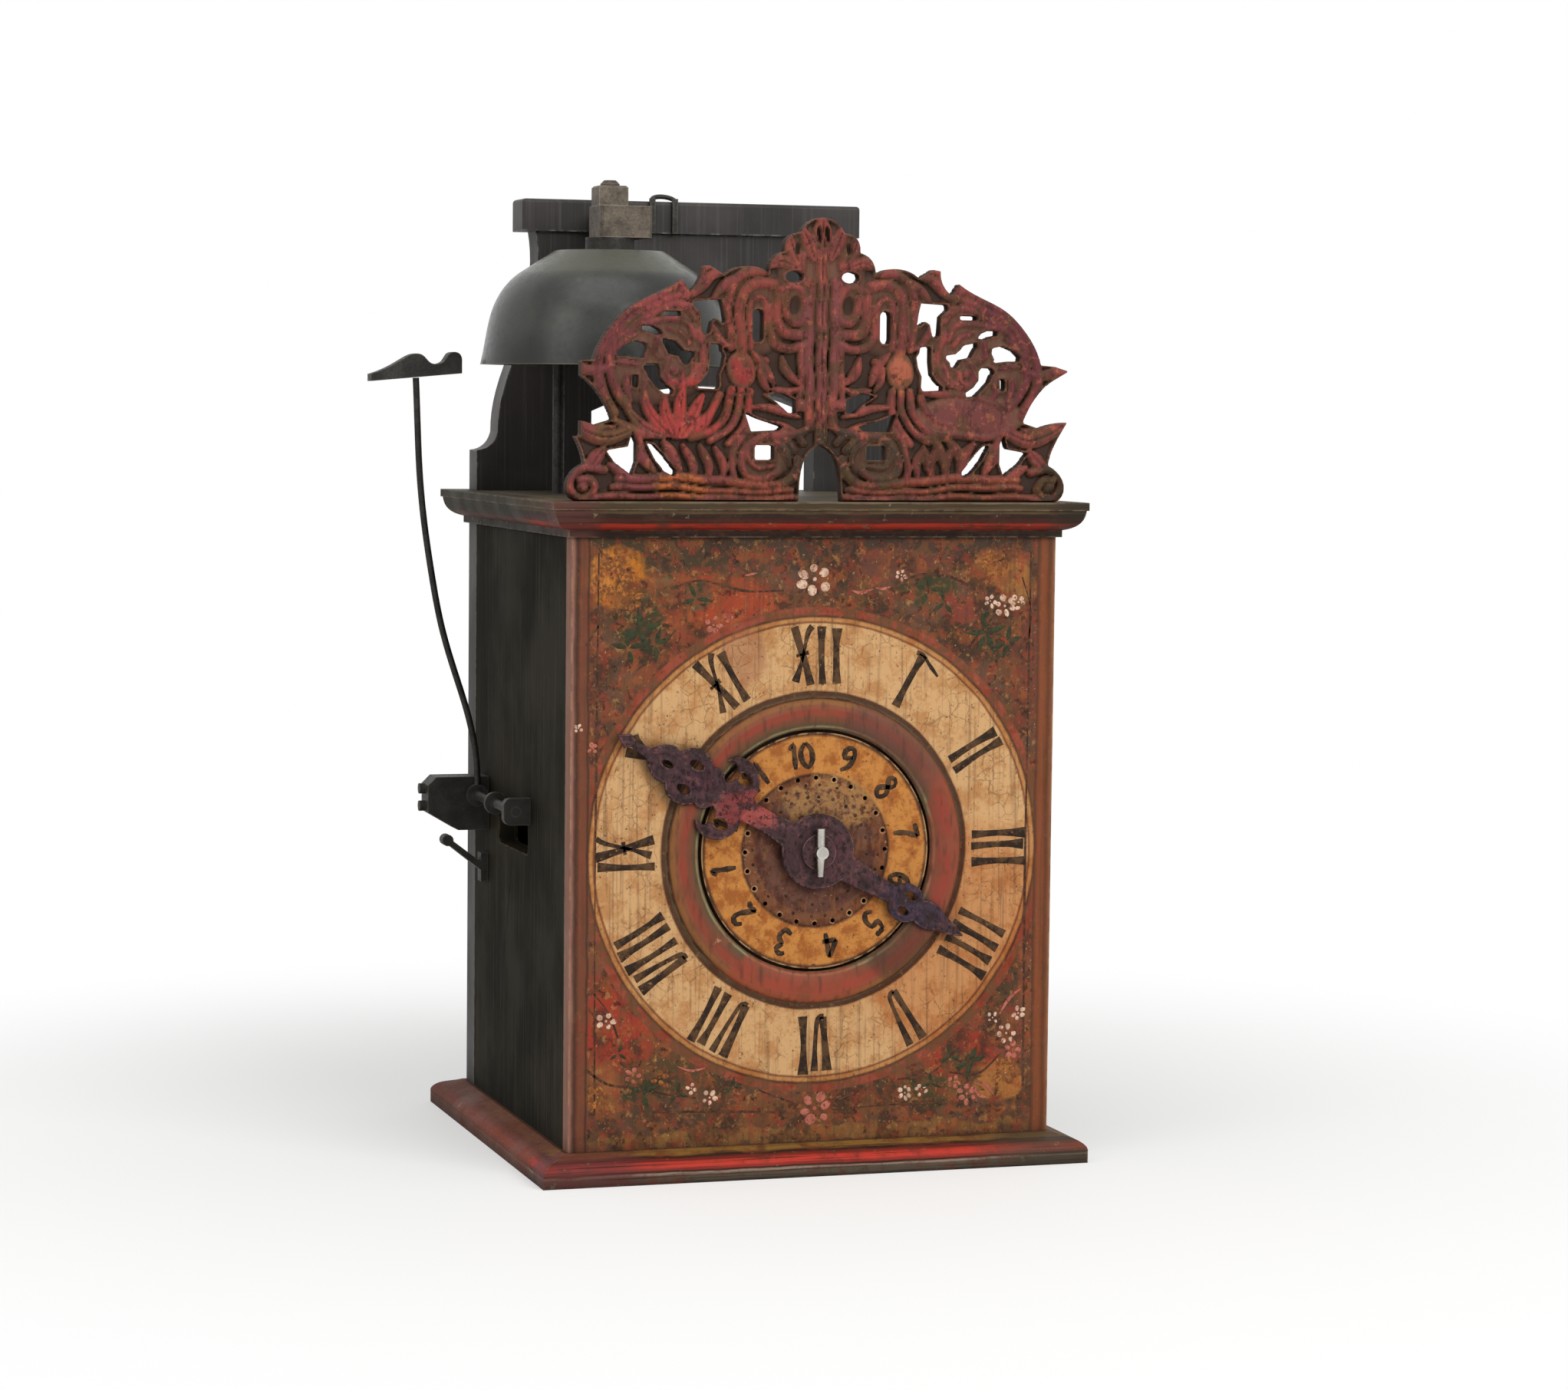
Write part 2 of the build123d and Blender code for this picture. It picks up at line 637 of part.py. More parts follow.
# The bell, its washer, spindle, nut and the iron arm that reaches forward from the cap bar.
rim_z = cornice_top + bell_rim_height
crown_z = rim_z + bell_crown
bell_axis = Axis((bell_x, bell_y, 0), (0, 0, 1))
with BuildPart() as bell:
    with BuildSketch(upright_plane(bell_x, bell_y)):
        with BuildLine():
            Line((spindle_radius + running_gap, crown_z), (crown_flat_radius, crown_z))
            Line((crown_flat_radius, crown_z), (shoulder_radius, crown_z - shoulder_drop))
            Spline((shoulder_radius, crown_z - shoulder_drop), (shoulder_radius + 6.3, crown_z - 15.4),
                   (bell_rim_radius - 5.4, rim_z + 24.0), (bell_rim_radius - 2.6, rim_z + 13.5),
                   (bell_rim_radius, rim_z))
            Line((bell_rim_radius, rim_z), (bell_rim_radius - bell_wall - 0.4, rim_z))
            Spline((bell_rim_radius - bell_wall - 0.4, rim_z),
                   (bell_rim_radius - 2.6 - bell_wall - 0.2, rim_z + 12.5),
                   (bell_rim_radius - 5.4 - bell_wall, rim_z + 22.5),
                   (shoulder_radius + 4.0, crown_z - 17.5),
                   (shoulder_radius - 1.2, crown_z - shoulder_drop - 3.2))
            Line((shoulder_radius - 1.2, crown_z - shoulder_drop - 3.2),
                 (crown_flat_radius, crown_z - bell_wall - 0.4))
            Line((crown_flat_radius, crown_z - bell_wall - 0.4),
                 (spindle_radius + running_gap, crown_z - bell_wall - 0.4))
            Line((spindle_radius + running_gap, crown_z - bell_wall - 0.4),
                 (spindle_radius + running_gap, crown_z))
        make_face()
    revolve(axis=bell_axis)
bell.part.label = "bell"
export_step(bell.part, "parts/bell.step")

arm_low = crown_z + bell_arm_rise
arm_high = arm_low + bell_arm_height
with BuildPart() as bell_washer:
    with BuildSketch(Plane.XY.offset(crown_z)):
        with Locations((bell_x, bell_y)):
            Circle(bell_washer_radius)
            Circle(spindle_radius + running_gap, mode=Mode.SUBTRACT)
    extrude(amount=bell_arm_rise)
bell_washer.part.label = "bell_washer"
export_step(bell_washer.part, "parts/bell_washer.step")

with BuildPart() as bell_arm:
    with BuildSketch(Plane.XY.offset(arm_low)):
        with Locations((bell_x, bell_y)):
            Rectangle(2 * (spindle_radius + 2.0), 2 * bell_arm_front)
        with Locations((bell_x + bell_arm_shift, bell_y)):
            Rectangle(bell_arm_width, 2 * bell_arm_front)
        with Locations((bell_x + bell_arm_shift + (bell_arm_width - bell_arm_neck) / 2,
                        (bell_y + cap_bar_front) / 2)):
            Rectangle(bell_arm_neck, cap_bar_front - bell_y)
        with Locations((bell_x, bell_y)):
            Circle(spindle_radius + running_gap, mode=Mode.SUBTRACT)
    extrude(amount=bell_arm_height)
    fillet(bell_arm.edges().filter_by(Axis.Z).group_by(Axis.Y)[0], 1.5)
bell_arm.part.label = "bell_arm"
export_step(bell_arm.part, "parts/bell_arm.step")

inner_crown_z = crown_z - bell_wall - 0.4
with BuildPart() as bell_spindle:
    with BuildSketch(Plane.XY.offset(inner_crown_z - spindle_head)):
        with Locations((bell_x, bell_y)):
            RegularPolygon(spindle_head_radius, 6)
    extrude(amount=spindle_head)
    with BuildSketch(Plane.XY.offset(inner_crown_z)):
        with Locations((bell_x, bell_y)):
            Circle(spindle_radius)
    extrude(amount=arm_high + spindle_top - inner_crown_z)
    chamfer(bell_spindle.faces().sort_by(Axis.Z)[-1].edges(), 1.5)
bell_spindle.part.label = "bell_spindle"
export_step(bell_spindle.part, "parts/bell_spindle.step")

with BuildPart() as bell_nut:
    with BuildSketch(Plane.XY.offset(arm_high)):
        with Locations((bell_x, bell_y)):
            Rectangle(nut_width, nut_width)
            Circle(spindle_radius + running_gap, mode=Mode.SUBTRACT)
    extrude(amount=nut_height)
    chamfer(bell_nut.faces().sort_by(Axis.Z)[-1].outer_wire().edges(), 0.8)
bell_nut.part.label = "bell_nut"
export_step(bell_nut.part, "parts/bell_nut.step")

# Movement frame: two wooden rails, an iron base plate and top plate, four posts and three plates.
with BuildPart() as seat_rails:
    with BuildSketch(Plane.XY.offset(foot_thickness)):
        for x in (-rail_spacing / 2, rail_spacing / 2):
            with Locations((x, (frame_front + frame_rear) / 2)):
                Rectangle(rail_width, frame_rear - frame_front)
    extrude(amount=frame_base_height - foot_thickness)
seat_rails.part.label = "seat_rails"
export_step(seat_rails.part, "parts/seat_rails.step")

frame_middle_y = (frame_front + frame_rear) / 2
frame_depth = frame_rear - frame_front
with BuildPart() as frame_base_plate:
    with BuildSketch(Plane.XY.offset(frame_base_height)):
        with Locations((0, frame_middle_y)):
            Rectangle(2 * frame_half_width, frame_depth)
        with Locations((0, going_slot_y), (0, strike_slot_y)):
            SlotOverall(rope_slot_length, rope_slot_width, mode=Mode.SUBTRACT)
    extrude(amount=frame_plate)
frame_base_plate.part.label = "frame_base_plate"
export_step(frame_base_plate.part, "parts/frame_base_plate.step")

with BuildPart() as frame_top_plate:
    with BuildSketch(Plane.XY.offset(frame_top_height)):
        with Locations((0, frame_middle_y)):
            Rectangle(2 * frame_half_width, frame_depth)
        with Locations((0, verge_y)):
            Circle(verge_radius + 2.0, mode=Mode.SUBTRACT)
    extrude(amount=frame_plate)
frame_top_plate.part.label = "frame_top_plate"
export_step(frame_top_plate.part, "parts/frame_top_plate.step")

post_x = frame_half_width - post_inset - post_size / 2
post_y = frame_depth / 2 - post_inset - post_size / 2
with BuildPart() as corner_posts:
    with BuildSketch(Plane.XY.offset(frame_base_top)):
        with Locations((0, frame_middle_y)):
            with GridLocations(2 * post_x, 2 * post_y, 2, 2):
                Rectangle(post_size, post_size)
    extrude(amount=frame_top_height - frame_base_top)
corner_posts.part.label = "corner_posts"
export_step(corner_posts.part, "parts/corner_posts.step")

pivot_hole = pivot_radius + running_gap
journal_radius = slim_arbor_radius
journal_hole = journal_radius + running_gap
plate_middle_z = (frame_base_top + frame_top_height) / 2
plate_height = frame_top_height - frame_base_top
detent_at = (-30.0, great_height + 58.4)

with BuildPart() as front_plate:
    with BuildSketch(layer(front_plate_rear)):
        with Locations((0, plate_middle_z)):
            Rectangle(2 * plate_half_width, plate_height)
        with Locations(second_at, third_at):
            Circle(pivot_hole, mode=Mode.SUBTRACT)
        with Locations(great_at):
            Circle(journal_hole, mode=Mode.SUBTRACT)
        with Locations(dial_at):
            Circle(hour_stud_radius, mode=Mode.SUBTRACT)
    extrude(amount=frame_plate)
front_plate.part.label = "front_plate"
export_step(front_plate.part, "parts/front_plate.step")

with BuildPart() as middle_plate:
    with BuildSketch(layer(middle_plate_rear)):
        with Locations((0, plate_middle_z)):
            Rectangle(2 * plate_half_width, plate_height)
        with Locations(great_at, second_at, third_at, detent_at):
            Circle(pivot_hole, mode=Mode.SUBTRACT)
    extrude(amount=frame_plate)
middle_plate.part.label = "middle_plate"
export_step(middle_plate.part, "parts/middle_plate.step")

with BuildPart() as rear_plate:
    with BuildSketch(layer(rear_plate_rear)):
        with Locations((0, plate_middle_z)):
            Rectangle(2 * plate_half_width, plate_height)
        with Locations(second_at, third_at):
            Circle(pivot_hole, mode=Mode.SUBTRACT)
        with Locations(great_at, detent_at):
            Circle(journal_hole, mode=Mode.SUBTRACT)
        with Locations(count_at):
            Circle(pivot_radius, mode=Mode.SUBTRACT)
    extrude(amount=frame_plate)
rear_plate.part.label = "rear_plate"
export_step(rear_plate.part, "parts/rear_plate.step")


# One round step of an arbor. An arbor is a list of (from Y, to Y, radius), front to rear.
def draw_step(centre, radius):
    with Locations(centre):
        Circle(radius)


going_arbor_end = middle_split - end_gap / 2
strike_arbor_start = middle_split + end_gap / 2

# Going train: great arbor, wheel, rope pulley and the pinion that drives the hour wheel.
going_arbor_steps = [
    (motion_pinion_rear, front_plate_rear + end_gap, journal_radius),
    (front_plate_rear + end_gap, middle_plate_front - end_gap, arbor_radius),
    (middle_plate_front - end_gap, going_arbor_end, pivot_radius),
]
with BuildPart() as going_great_arbor:
    for y_from, y_to, radius in going_arbor_steps:
        with BuildSketch(layer(y_to)):
            draw_step(great_at, radius)
        extrude(amount=y_to - y_from)
    with BuildSketch(layer(motion_pinion_rear)):
        with Locations(great_at):
            Polygon(*gear_points(pinion_teeth, motion_module, 90.0))
    extrude(amount=motion_pinion_rear - motion_pinion_front)
going_great_arbor.part.label = "going_great_arbor"
export_step(going_great_arbor.part, "parts/going_great_arbor.step")

with BuildPart() as going_great_wheel:
    with BuildSketch(layer(going_great_front + wheel_thickness)):
        draw_wheel(great_at, great_teeth, great_module, second_direction, 5.0, 9.0, arbor_radius)
    extrude(amount=wheel_thickness)
going_great_wheel.part.label = "going_great_wheel"
export_step(going_great_wheel.part, "parts/going_great_wheel.step")

# A grooved rope pulley that turns freely on its arbor for winding.
def pulley_profile(y_front, width, outer, core, bore):
    return [(y_front, bore), (y_front, outer), (y_front + pulley_flange, outer),
            (y_front + pulley_flange + 3.0, core), (y_front + width - pulley_flange - 3.0, core),
            (y_front + width - pulley_flange, outer), (y_front + width, outer), (y_front + width, bore)]


pulley_bore = arbor_radius + running_gap
great_axis = Axis((great_at[0], 0, great_at[1]), axis_y)
with BuildPart() as going_rope_pulley:
    with BuildSketch(turning_plane(*great_at)):
        Polygon(*pulley_profile(going_pulley_front, pulley_width, pulley_radius, pulley_core, pulley_bore))
    revolve(axis=great_axis)
going_rope_pulley.part.label = "going_rope_pulley"
export_step(going_rope_pulley.part, "parts/going_rope_pulley.step")

# Second arbors and wheels, one set in each train, and the third arbors above them.
train_phase = second_direction + 180.0 + half_pinion_tooth
third_phase = third_direction + 180.0 + half_pinion_tooth


def arbor_steps(y_from, pivot_in, y_to, pivot_out):
    return [(pivot_in, y_from + end_gap, pivot_radius),
            (y_from + end_gap, y_to - end_gap, slim_arbor_radius),
            (y_to - end_gap, pivot_out, pivot_radius)]


going_second_steps = arbor_steps(front_plate_rear, front_plate_front + end_gap,
                                 middle_plate_front, going_arbor_end)
strike_second_steps = arbor_steps(middle_plate_rear, strike_arbor_start,
                                  rear_plate_front, rear_plate_rear - end_gap)
with BuildPart() as second_arbor:
    for y_from, y_to, radius in going_second_steps:
        with BuildSketch(layer(y_to)):
            draw_step(second_at, radius)
        extrude(amount=y_to - y_from)
    with BuildSketch(layer(going_great_front + wheel_thickness + 1.0)):
        with Locations(second_at):
            Polygon(*gear_points(pinion_teeth, great_module, train_phase))
    extrude(amount=wheel_thickness + 2.0)
second_arbor.part.label = "second_arbor"
export_step(second_arbor.part, "parts/second_arbor.step")

with BuildPart() as second_wheel:
    with BuildSketch(layer(second_wheel_front + thin_wheel)):
        draw_wheel(second_at, great_teeth, train_module, third_direction, 4.0, 6.0, slim_arbor_radius)
    extrude(amount=thin_wheel)
second_wheel.part.label = "second_wheel"
export_step(second_wheel.part, "parts/second_wheel.step")

with BuildPart() as locking_arbor:
    for y_from, y_to, radius in strike_second_steps:
        with BuildSketch(layer(y_to)):
            draw_step(second_at, radius)
        extrude(amount=y_to - y_from)
    with BuildSketch(layer(strike_great_front + wheel_thickness + 1.0)):
        with Locations(second_at):
            Polygon(*gear_points(pinion_teeth, great_module, train_phase))
    extrude(amount=wheel_thickness + 2.0)
locking_arbor.part.label = "locking_arbor"
export_step(locking_arbor.part, "parts/locking_arbor.step")

with BuildPart() as locking_wheel:
    with BuildSketch(layer(locking_wheel_front + thin_wheel)):
        draw_wheel(second_at, great_teeth, train_module, third_direction, 4.0, 6.0, slim_arbor_radius)
    extrude(amount=thin_wheel)
locking_wheel.part.label = "locking_wheel"
export_step(locking_wheel.part, "parts/locking_wheel.step")

# Escape arbor, crown wheel, verge and balance wheel.
crown_web = 3.0
crown_band = 2.2
cock_plate_front = crown_face - 1.0
cock_plate_rear = cock_plate_front + frame_plate
escape_steps = [
    (cock_plate_front, cock_plate_rear + end_gap, pivot_radius),
    (cock_plate_rear + end_gap, middle_plate_front - end_gap, slim_arbor_radius),
    (middle_plate_front - end_gap, going_arbor_end, pivot_radius),
]
with BuildPart() as escape_arbor:
    for y_from, y_to, radius in escape_steps:
        with BuildSketch(layer(y_to)):
            draw_step(third_at, radius)
        extrude(amount=y_to - y_from)
    with BuildSketch(layer(second_wheel_front + thin_wheel + 1.0)):
        with Locations(third_at):
            Polygon(*gear_points(pinion_teeth, train_module, third_phase))
    extrude(amount=thin_wheel + 2.0)
escape_arbor.part.label = "escape_arbor"
export_step(escape_arbor.part, "parts/escape_arbor.step")

tooth_pitch_deg = 360.0 / crown_teeth
half_gap = 0.72 * pi * crown_radius / crown_teeth  # leaves narrow teeth
with BuildPart() as crown_wheel:
    with BuildSketch(layer(crown_face + crown_depth)):
        with Locations(third_at):
            Circle(crown_radius)
            Circle(slim_arbor_radius, mode=Mode.SUBTRACT)
    extrude(amount=crown_web)
    with BuildSketch(layer(crown_face + crown_depth - crown_web)):
        with Locations(third_at):
            Circle(crown_radius)
            Circle(crown_radius - crown_band, mode=Mode.SUBTRACT)
    extrude(amount=crown_depth - crown_web + crown_tooth)
    for tooth in range(crown_teeth):
        gap = Plane(origin=(third_at[0], 0, third_at[1]), x_dir=(0, 1, 0), z_dir=(1, 0, 0))
        gap = gap.rotated((0, tooth * tooth_pitch_deg, 0))
        gap_side = Plane(origin=gap.origin, x_dir=gap.x_dir, z_dir=gap.y_dir)
        with BuildSketch(gap_side.offset(crown_radius - crown_band - 1.0)):
            with BuildLine():
                Polyline((crown_face - crown_tooth - 1.0, half_gap), (crown_face, half_gap * 0.35),
                         (crown_face, -half_gap), (crown_face - crown_tooth - 1.0, -half_gap),
                         (crown_face - crown_tooth - 1.0, half_gap))
            make_face()
        extrude(amount=crown_band + 2.0, mode=Mode.SUBTRACT)
crown_wheel.part.label = "crown_wheel"
export_step(crown_wheel.part, "parts/crown_wheel.step")

# Two cocks on the front plate: one reaches into the crown wheel and holds its front pivot,
# the other stands under the verge.
cock_arm_x = 10.0
verge_foot_low = great_height + great_module * great_teeth / 2 + 2.4
verge_foot_high = verge_foot_low + frame_plate
verge_pivot = pivot_radius - 0.4
with BuildPart() as escapement_cocks:
    with BuildSketch(layer(cock_plate_rear)):
        with Locations(third_at):
            with Locations((cock_arm_x / 2, 0)):
                Rectangle(cock_arm_x + 7.0, 8.0)
            Circle(pivot_hole, mode=Mode.SUBTRACT)
    extrude(amount=frame_plate)
    with BuildSketch(layer(cock_plate_front)):
        with Locations((cock_arm_x + 1.5, third_at[1])):
            Rectangle(4.0, 8.0)
    extrude(amount=cock_plate_front - front_plate_rear)
    with BuildSketch(Plane.XY.offset(verge_foot_low)):
        with Locations((0, (front_plate_rear + verge_y + 3.0) / 2)):
            Rectangle(7.0, verge_y + 3.0 - front_plate_rear)
        with Locations((0, verge_y)):
            Circle(verge_pivot + running_gap, mode=Mode.SUBTRACT)
    extrude(amount=frame_plate)
escapement_cocks.part.label = "escapement_cocks"
export_step(escapement_cocks.part, "parts/escapement_cocks.step")

# The verge stands upright before the crown wheel; two pallets, and the balance on its top.
balance_low = frame_top_height + frame_plate + balance_lift
cock_low = frame_top_height + frame_plate + cock_rise - frame_plate
pallet_height = 4.0
pallet_thickness = 1.2
pallet_angles = (-12.0, 192.0)
pallet_reach = crown_radius - crown_band / 2
with BuildPart() as verge:
    with BuildSketch(Plane.XY.offset(verge_foot_low)):
        with Locations((0, verge_y)):
            Circle(verge_pivot)
    extrude(amount=frame_plate + end_gap)
    with BuildSketch(Plane.XY.offset(verge_foot_high + end_gap)):
        with Locations((0, verge_y)):
            Circle(verge_radius)
    extrude(amount=cock_low - end_gap - verge_foot_high - end_gap)
    with BuildSketch(Plane.XY.offset(cock_low - end_gap)):
        with Locations((0, verge_y)):
            Circle(verge_pivot)
    extrude(amount=frame_plate + end_gap)
    for angle, z in zip(pallet_angles, (third_at[1] + pallet_reach, third_at[1] - pallet_reach)):
        with BuildSketch(Plane.XY.offset(z - pallet_height / 2)):
            with Locations(Location((0, verge_y), angle)):
                with Locations((pallet_length / 2, 0)):
                    Rectangle(pallet_length, pallet_thickness)
        extrude(amount=pallet_height)
verge.part.label = "verge"
export_step(verge.part, "parts/verge.step")

with BuildPart() as balance_wheel:
    with BuildSketch(Plane.XY.offset(balance_low)):
        with Locations((0, verge_y)):
            Circle(balance_radius)
            Circle(balance_radius - balance_rim, mode=Mode.SUBTRACT)
            Rectangle(2 * balance_radius - balance_rim, balance_rim)
            Circle(5.0)
            Circle(verge_radius, mode=Mode.SUBTRACT)
    extrude(amount=balance_thickness)
balance_wheel.part.label = "balance_wheel"
export_step(balance_wheel.part, "parts/balance_wheel.step")

cock_leg_x = balance_radius + 5.0
with BuildPart() as balance_cock:
    with BuildSketch(Plane.XY.offset(cock_low)):
        with Locations((0, verge_y)):
            Rectangle(2 * cock_leg_x + post_size, post_size)
            Circle(verge_pivot + running_gap, mode=Mode.SUBTRACT)
    extrude(amount=frame_plate)
    with BuildSketch(Plane.XY.offset(frame_top_height + frame_plate)):
        with Locations((-cock_leg_x, verge_y), (cock_leg_x, verge_y)):
            Rectangle(post_size - 2.0, post_size)
    extrude(amount=cock_rise - frame_plate)
balance_cock.part.label = "balance_cock"
export_step(balance_cock.part, "parts/balance_cock.step")

# Motion work behind the dial: stud, hour wheel with its pipe, hand, alarm disc, washer and pin.
hand_rear = front_y - dial_ring_proud - hand_gap
hand_front = hand_rear - hand_thickness
washer_front = hand_front - hand_washer_thickness
taper_pin_y = washer_front - taper_pin_radius - 0.05
stud_front = washer_front - stud_end
stud_collar = motion_wheel_front + thin_wheel + end_gap
hour_bore = hour_stud_radius + running_gap
with BuildPart() as hour_stud:
    with BuildSketch(layer(front_plate_rear)):
        draw_step(dial_at, hour_stud_radius)
    extrude(amount=front_plate_rear - stud_front)
    with BuildSketch(layer(front_plate_front)):
        draw_step(dial_at, 2 * hour_stud_radius)
    extrude(amount=front_plate_front - stud_collar)
    with BuildSketch(Plane.XY.offset(dial_height - 2 * hour_stud_radius)):
        with Locations((0, taper_pin_y)):
            Circle(taper_pin_radius + 0.02)
    extrude(amount=4 * hour_stud_radius, mode=Mode.SUBTRACT)
hour_stud.part.label = "hour_stud"
export_step(hour_stud.part, "parts/hour_stud.step")

with BuildPart() as hour_wheel:
    with BuildSketch(layer(motion_wheel_front + thin_wheel)):
        phase = 270.0 + 180.0 / motion_teeth
        draw_wheel(dial_at, motion_teeth, motion_module, phase, 4.5, 10.0, hour_bore)
    extrude(amount=thin_wheel)
    with BuildSketch(layer(motion_wheel_front)):
        with Locations(dial_at):
            Circle(hour_pipe_radius)
            Circle(hour_bore, mode=Mode.SUBTRACT)
    extrude(amount=motion_wheel_front - hand_front)
hour_wheel.part.label = "hour_wheel"
export_step(hour_wheel.part, "parts/hour_wheel.step")

with BuildPart() as alarm_disc:
    disc_front = front_y - alarm_disc_proud
    with BuildSketch(layer(disc_front + alarm_disc_thickness)):
        with Locations(dial_at):
            Circle(alarm_disc_radius)
            Circle(hour_pipe_radius + running_gap, mode=Mode.SUBTRACT)
            with PolarLocations(pin_hole_circle, pin_hole_count):
                Circle(pin_hole_radius, mode=Mode.SUBTRACT)
    extrude(amount=alarm_disc_thickness)
    with BuildSketch(layer(disc_front + alarm_disc_thickness + 2.0)):
        with Locations(dial_at):
            Circle(hour_pipe_radius + 3.0)
            Circle(hour_pipe_radius + running_gap, mode=Mode.SUBTRACT)
    extrude(amount=2.0)
alarm_disc.part.label = "alarm_disc"
export_step(alarm_disc.part, "parts/alarm_disc.step")

# The hand is sawn from sheet iron. Points are (along the hand, to its side), one side of it.
hand_head = [
    [(12, 5.5), (20, 4.6), (30, 4.4), (34, 5.0)],
    [(34, 5.0), (34.5, 11), (40, 16.5), (47.5, 16.5), (51, 12.5)],
    [(51, 12.5), (46.5, 13.2), (44.5, 10), (47.5, 5.2)],
    [(47.5, 5.2), (51, 8.4), (54.5, 8.0)],
    [(54.5, 8.0), (59, 11.2), (65.5, 10.6), (69, 6.6)],
    [(69, 6.6), (73.5, 7.4), (78, 4.6), (80.5, 2.2)],
    [(80.5, 2.2), (88, 1.3)],
    [(88, 1.3), (90, 3.2)],
    [(90, 3.2), (hand_tip, 0)],
]
hand_tail = [
    [(-12, 5.5), (-24, 4.6), (-36, 3.6)],
    [(-36, 3.6), (-39, 7.0), (-46, 7.2), (-49, 4.6)],
    [(-49, 4.6), (-54, 5.6), (-60, 3.4)],
    [(-60, 3.4), (-66, 2.2), (-hand_tail_end, 0)],
]
hand_holes = [(41.0, 10.0, 3.4, 2.2), (61.0, 5.4, 3.0, 1.6), (71.5, 0.0, 2.6, 1.3), (-43.5, 3.4, 2.6, 1.2)]
with BuildPart() as hour_hand:
    hand_plane = Plane(origin=(0, hand_rear, dial_height), x_dir=(1, 0, 0), z_dir=(0, -1, 0))
    hand_plane = hand_plane.rotated((0, -hand_angle, 0))
    with BuildSketch(hand_plane):
        with BuildLine():
            Line((-12, 0), (-12, 5.5))
            draw_runs(hand_tail)
            Line((-hand_tail_end, 0), (-12, 0))
        make_face()
        with BuildLine():
            Line((12, 0), (12, 5.5))
            draw_runs(hand_head)
            Line((hand_tip, 0), (12, 0))
        make_face()
        for along, across, long_radius, short_radius in hand_holes:
            with Locations((along, across)):
                Ellipse(long_radius, short_radius, mode=Mode.SUBTRACT)
        mirror(about=Plane.XZ)
        Circle(hand_hub_radius)
        Circle(hour_pipe_radius + 0.02, mode=Mode.SUBTRACT)
    extrude(amount=hand_thickness)
hour_hand.part.label = "hour_hand"
export_step(hour_hand.part, "parts/hour_hand.step")

with BuildPart() as hand_washer:
    with BuildSketch(layer(hand_front)):
        with Locations(dial_at):
            Circle(hand_washer_radius)
            Circle(hour_bore, mode=Mode.SUBTRACT)
    extrude(amount=hand_washer_thickness)
hand_washer.part.label = "hand_washer"
export_step(hand_washer.part, "parts/hand_washer.step")

half_pin = taper_pin_length / 2
with BuildPart() as taper_pin:
    with BuildSketch(upright_plane(0, taper_pin_y)):
        Polygon((0, dial_height - half_pin), (taper_pin_radius - 0.5, dial_height - half_pin),
                (taper_pin_radius, dial_height - 3.0), (taper_pin_radius, dial_height + half_pin),
                (0, dial_height + half_pin))
    revolve(axis=Axis((0, taper_pin_y, 0), (0, 0, 1)))
taper_pin.part.label = "taper_pin"
export_step(taper_pin.part, "parts/taper_pin.step")

# Striking train: great arbor, wheel with hammer pins, pulley, fly and count wheel.
count_pinion_front = rear_plate_rear + 2.0
count_pinion_rear = count_wheel_front + thin_wheel - 0.5
strike_arbor_steps = [
    (strike_arbor_start, middle_plate_rear + end_gap, pivot_radius),
    (middle_plate_rear + end_gap, rear_plate_front - end_gap, arbor_radius),
    (rear_plate_front - end_gap, count_pinion_front, journal_radius),
]
with BuildPart() as strike_great_arbor:
    for y_from, y_to, radius in strike_arbor_steps:
        with BuildSketch(layer(y_to)):
            draw_step(great_at, radius)
        extrude(amount=y_to - y_from)
    with BuildSketch(layer(count_pinion_rear)):
        with Locations(great_at):
            Polygon(*gear_points(pinion_teeth, motion_module, count_direction))
    extrude(amount=count_pinion_rear - count_pinion_front)
strike_great_arbor.part.label = "strike_great_arbor"
export_step(strike_great_arbor.part, "parts/strike_great_arbor.step")

with BuildPart() as strike_great_wheel:
    with BuildSketch(layer(strike_great_front + wheel_thickness)):
        draw_wheel(great_at, great_teeth, great_module, second_direction, 9.5, 9.0, arbor_radius)
    extrude(amount=wheel_thickness)
    with BuildSketch(layer(strike_great_front + wheel_thickness + strike_pin_length)):
        with Locations(great_at):
            with PolarLocations(strike_pin_circle, strike_pin_count):
                Circle(strike_pin_radius)
    extrude(amount=strike_pin_length)
strike_great_wheel.part.label = "strike_great_wheel"
export_step(strike_great_wheel.part, "parts/strike_great_wheel.step")

with BuildPart() as strike_rope_pulley:
    with BuildSketch(turning_plane(*great_at)):
        Polygon(*pulley_profile(strike_pulley_front, pulley_width, pulley_radius, pulley_core, pulley_bore))
    revolve(axis=great_axis)
strike_rope_pulley.part.label = "strike_rope_pulley"
export_step(strike_rope_pulley.part, "parts/strike_rope_pulley.step")

fly_front = middle_plate_rear + 9.0
with BuildPart() as fly_arbor:
    for y_from, y_to, radius in strike_second_steps:
        with BuildSketch(layer(y_to)):
            draw_step(third_at, radius)
        extrude(amount=y_to - y_from)
    with BuildSketch(layer(locking_wheel_front + thin_wheel + 1.0)):
        with Locations(third_at):
            Polygon(*gear_points(pinion_teeth, train_module, third_phase))
    extrude(amount=thin_wheel + 2.0)
fly_arbor.part.label = "fly_arbor"
export_step(fly_arbor.part, "parts/fly_arbor.step")

with BuildPart() as fly:
    with BuildSketch(layer(fly_front + fly_width)):
        with Locations(third_at):
            Rectangle(2 * fly_radius, fly_thickness)
            Circle(slim_arbor_radius + 1.5)
            Circle(slim_arbor_radius, mode=Mode.SUBTRACT)
    extrude(amount=fly_width)
fly.part.label = "fly"
export_step(fly.part, "parts/fly.step")

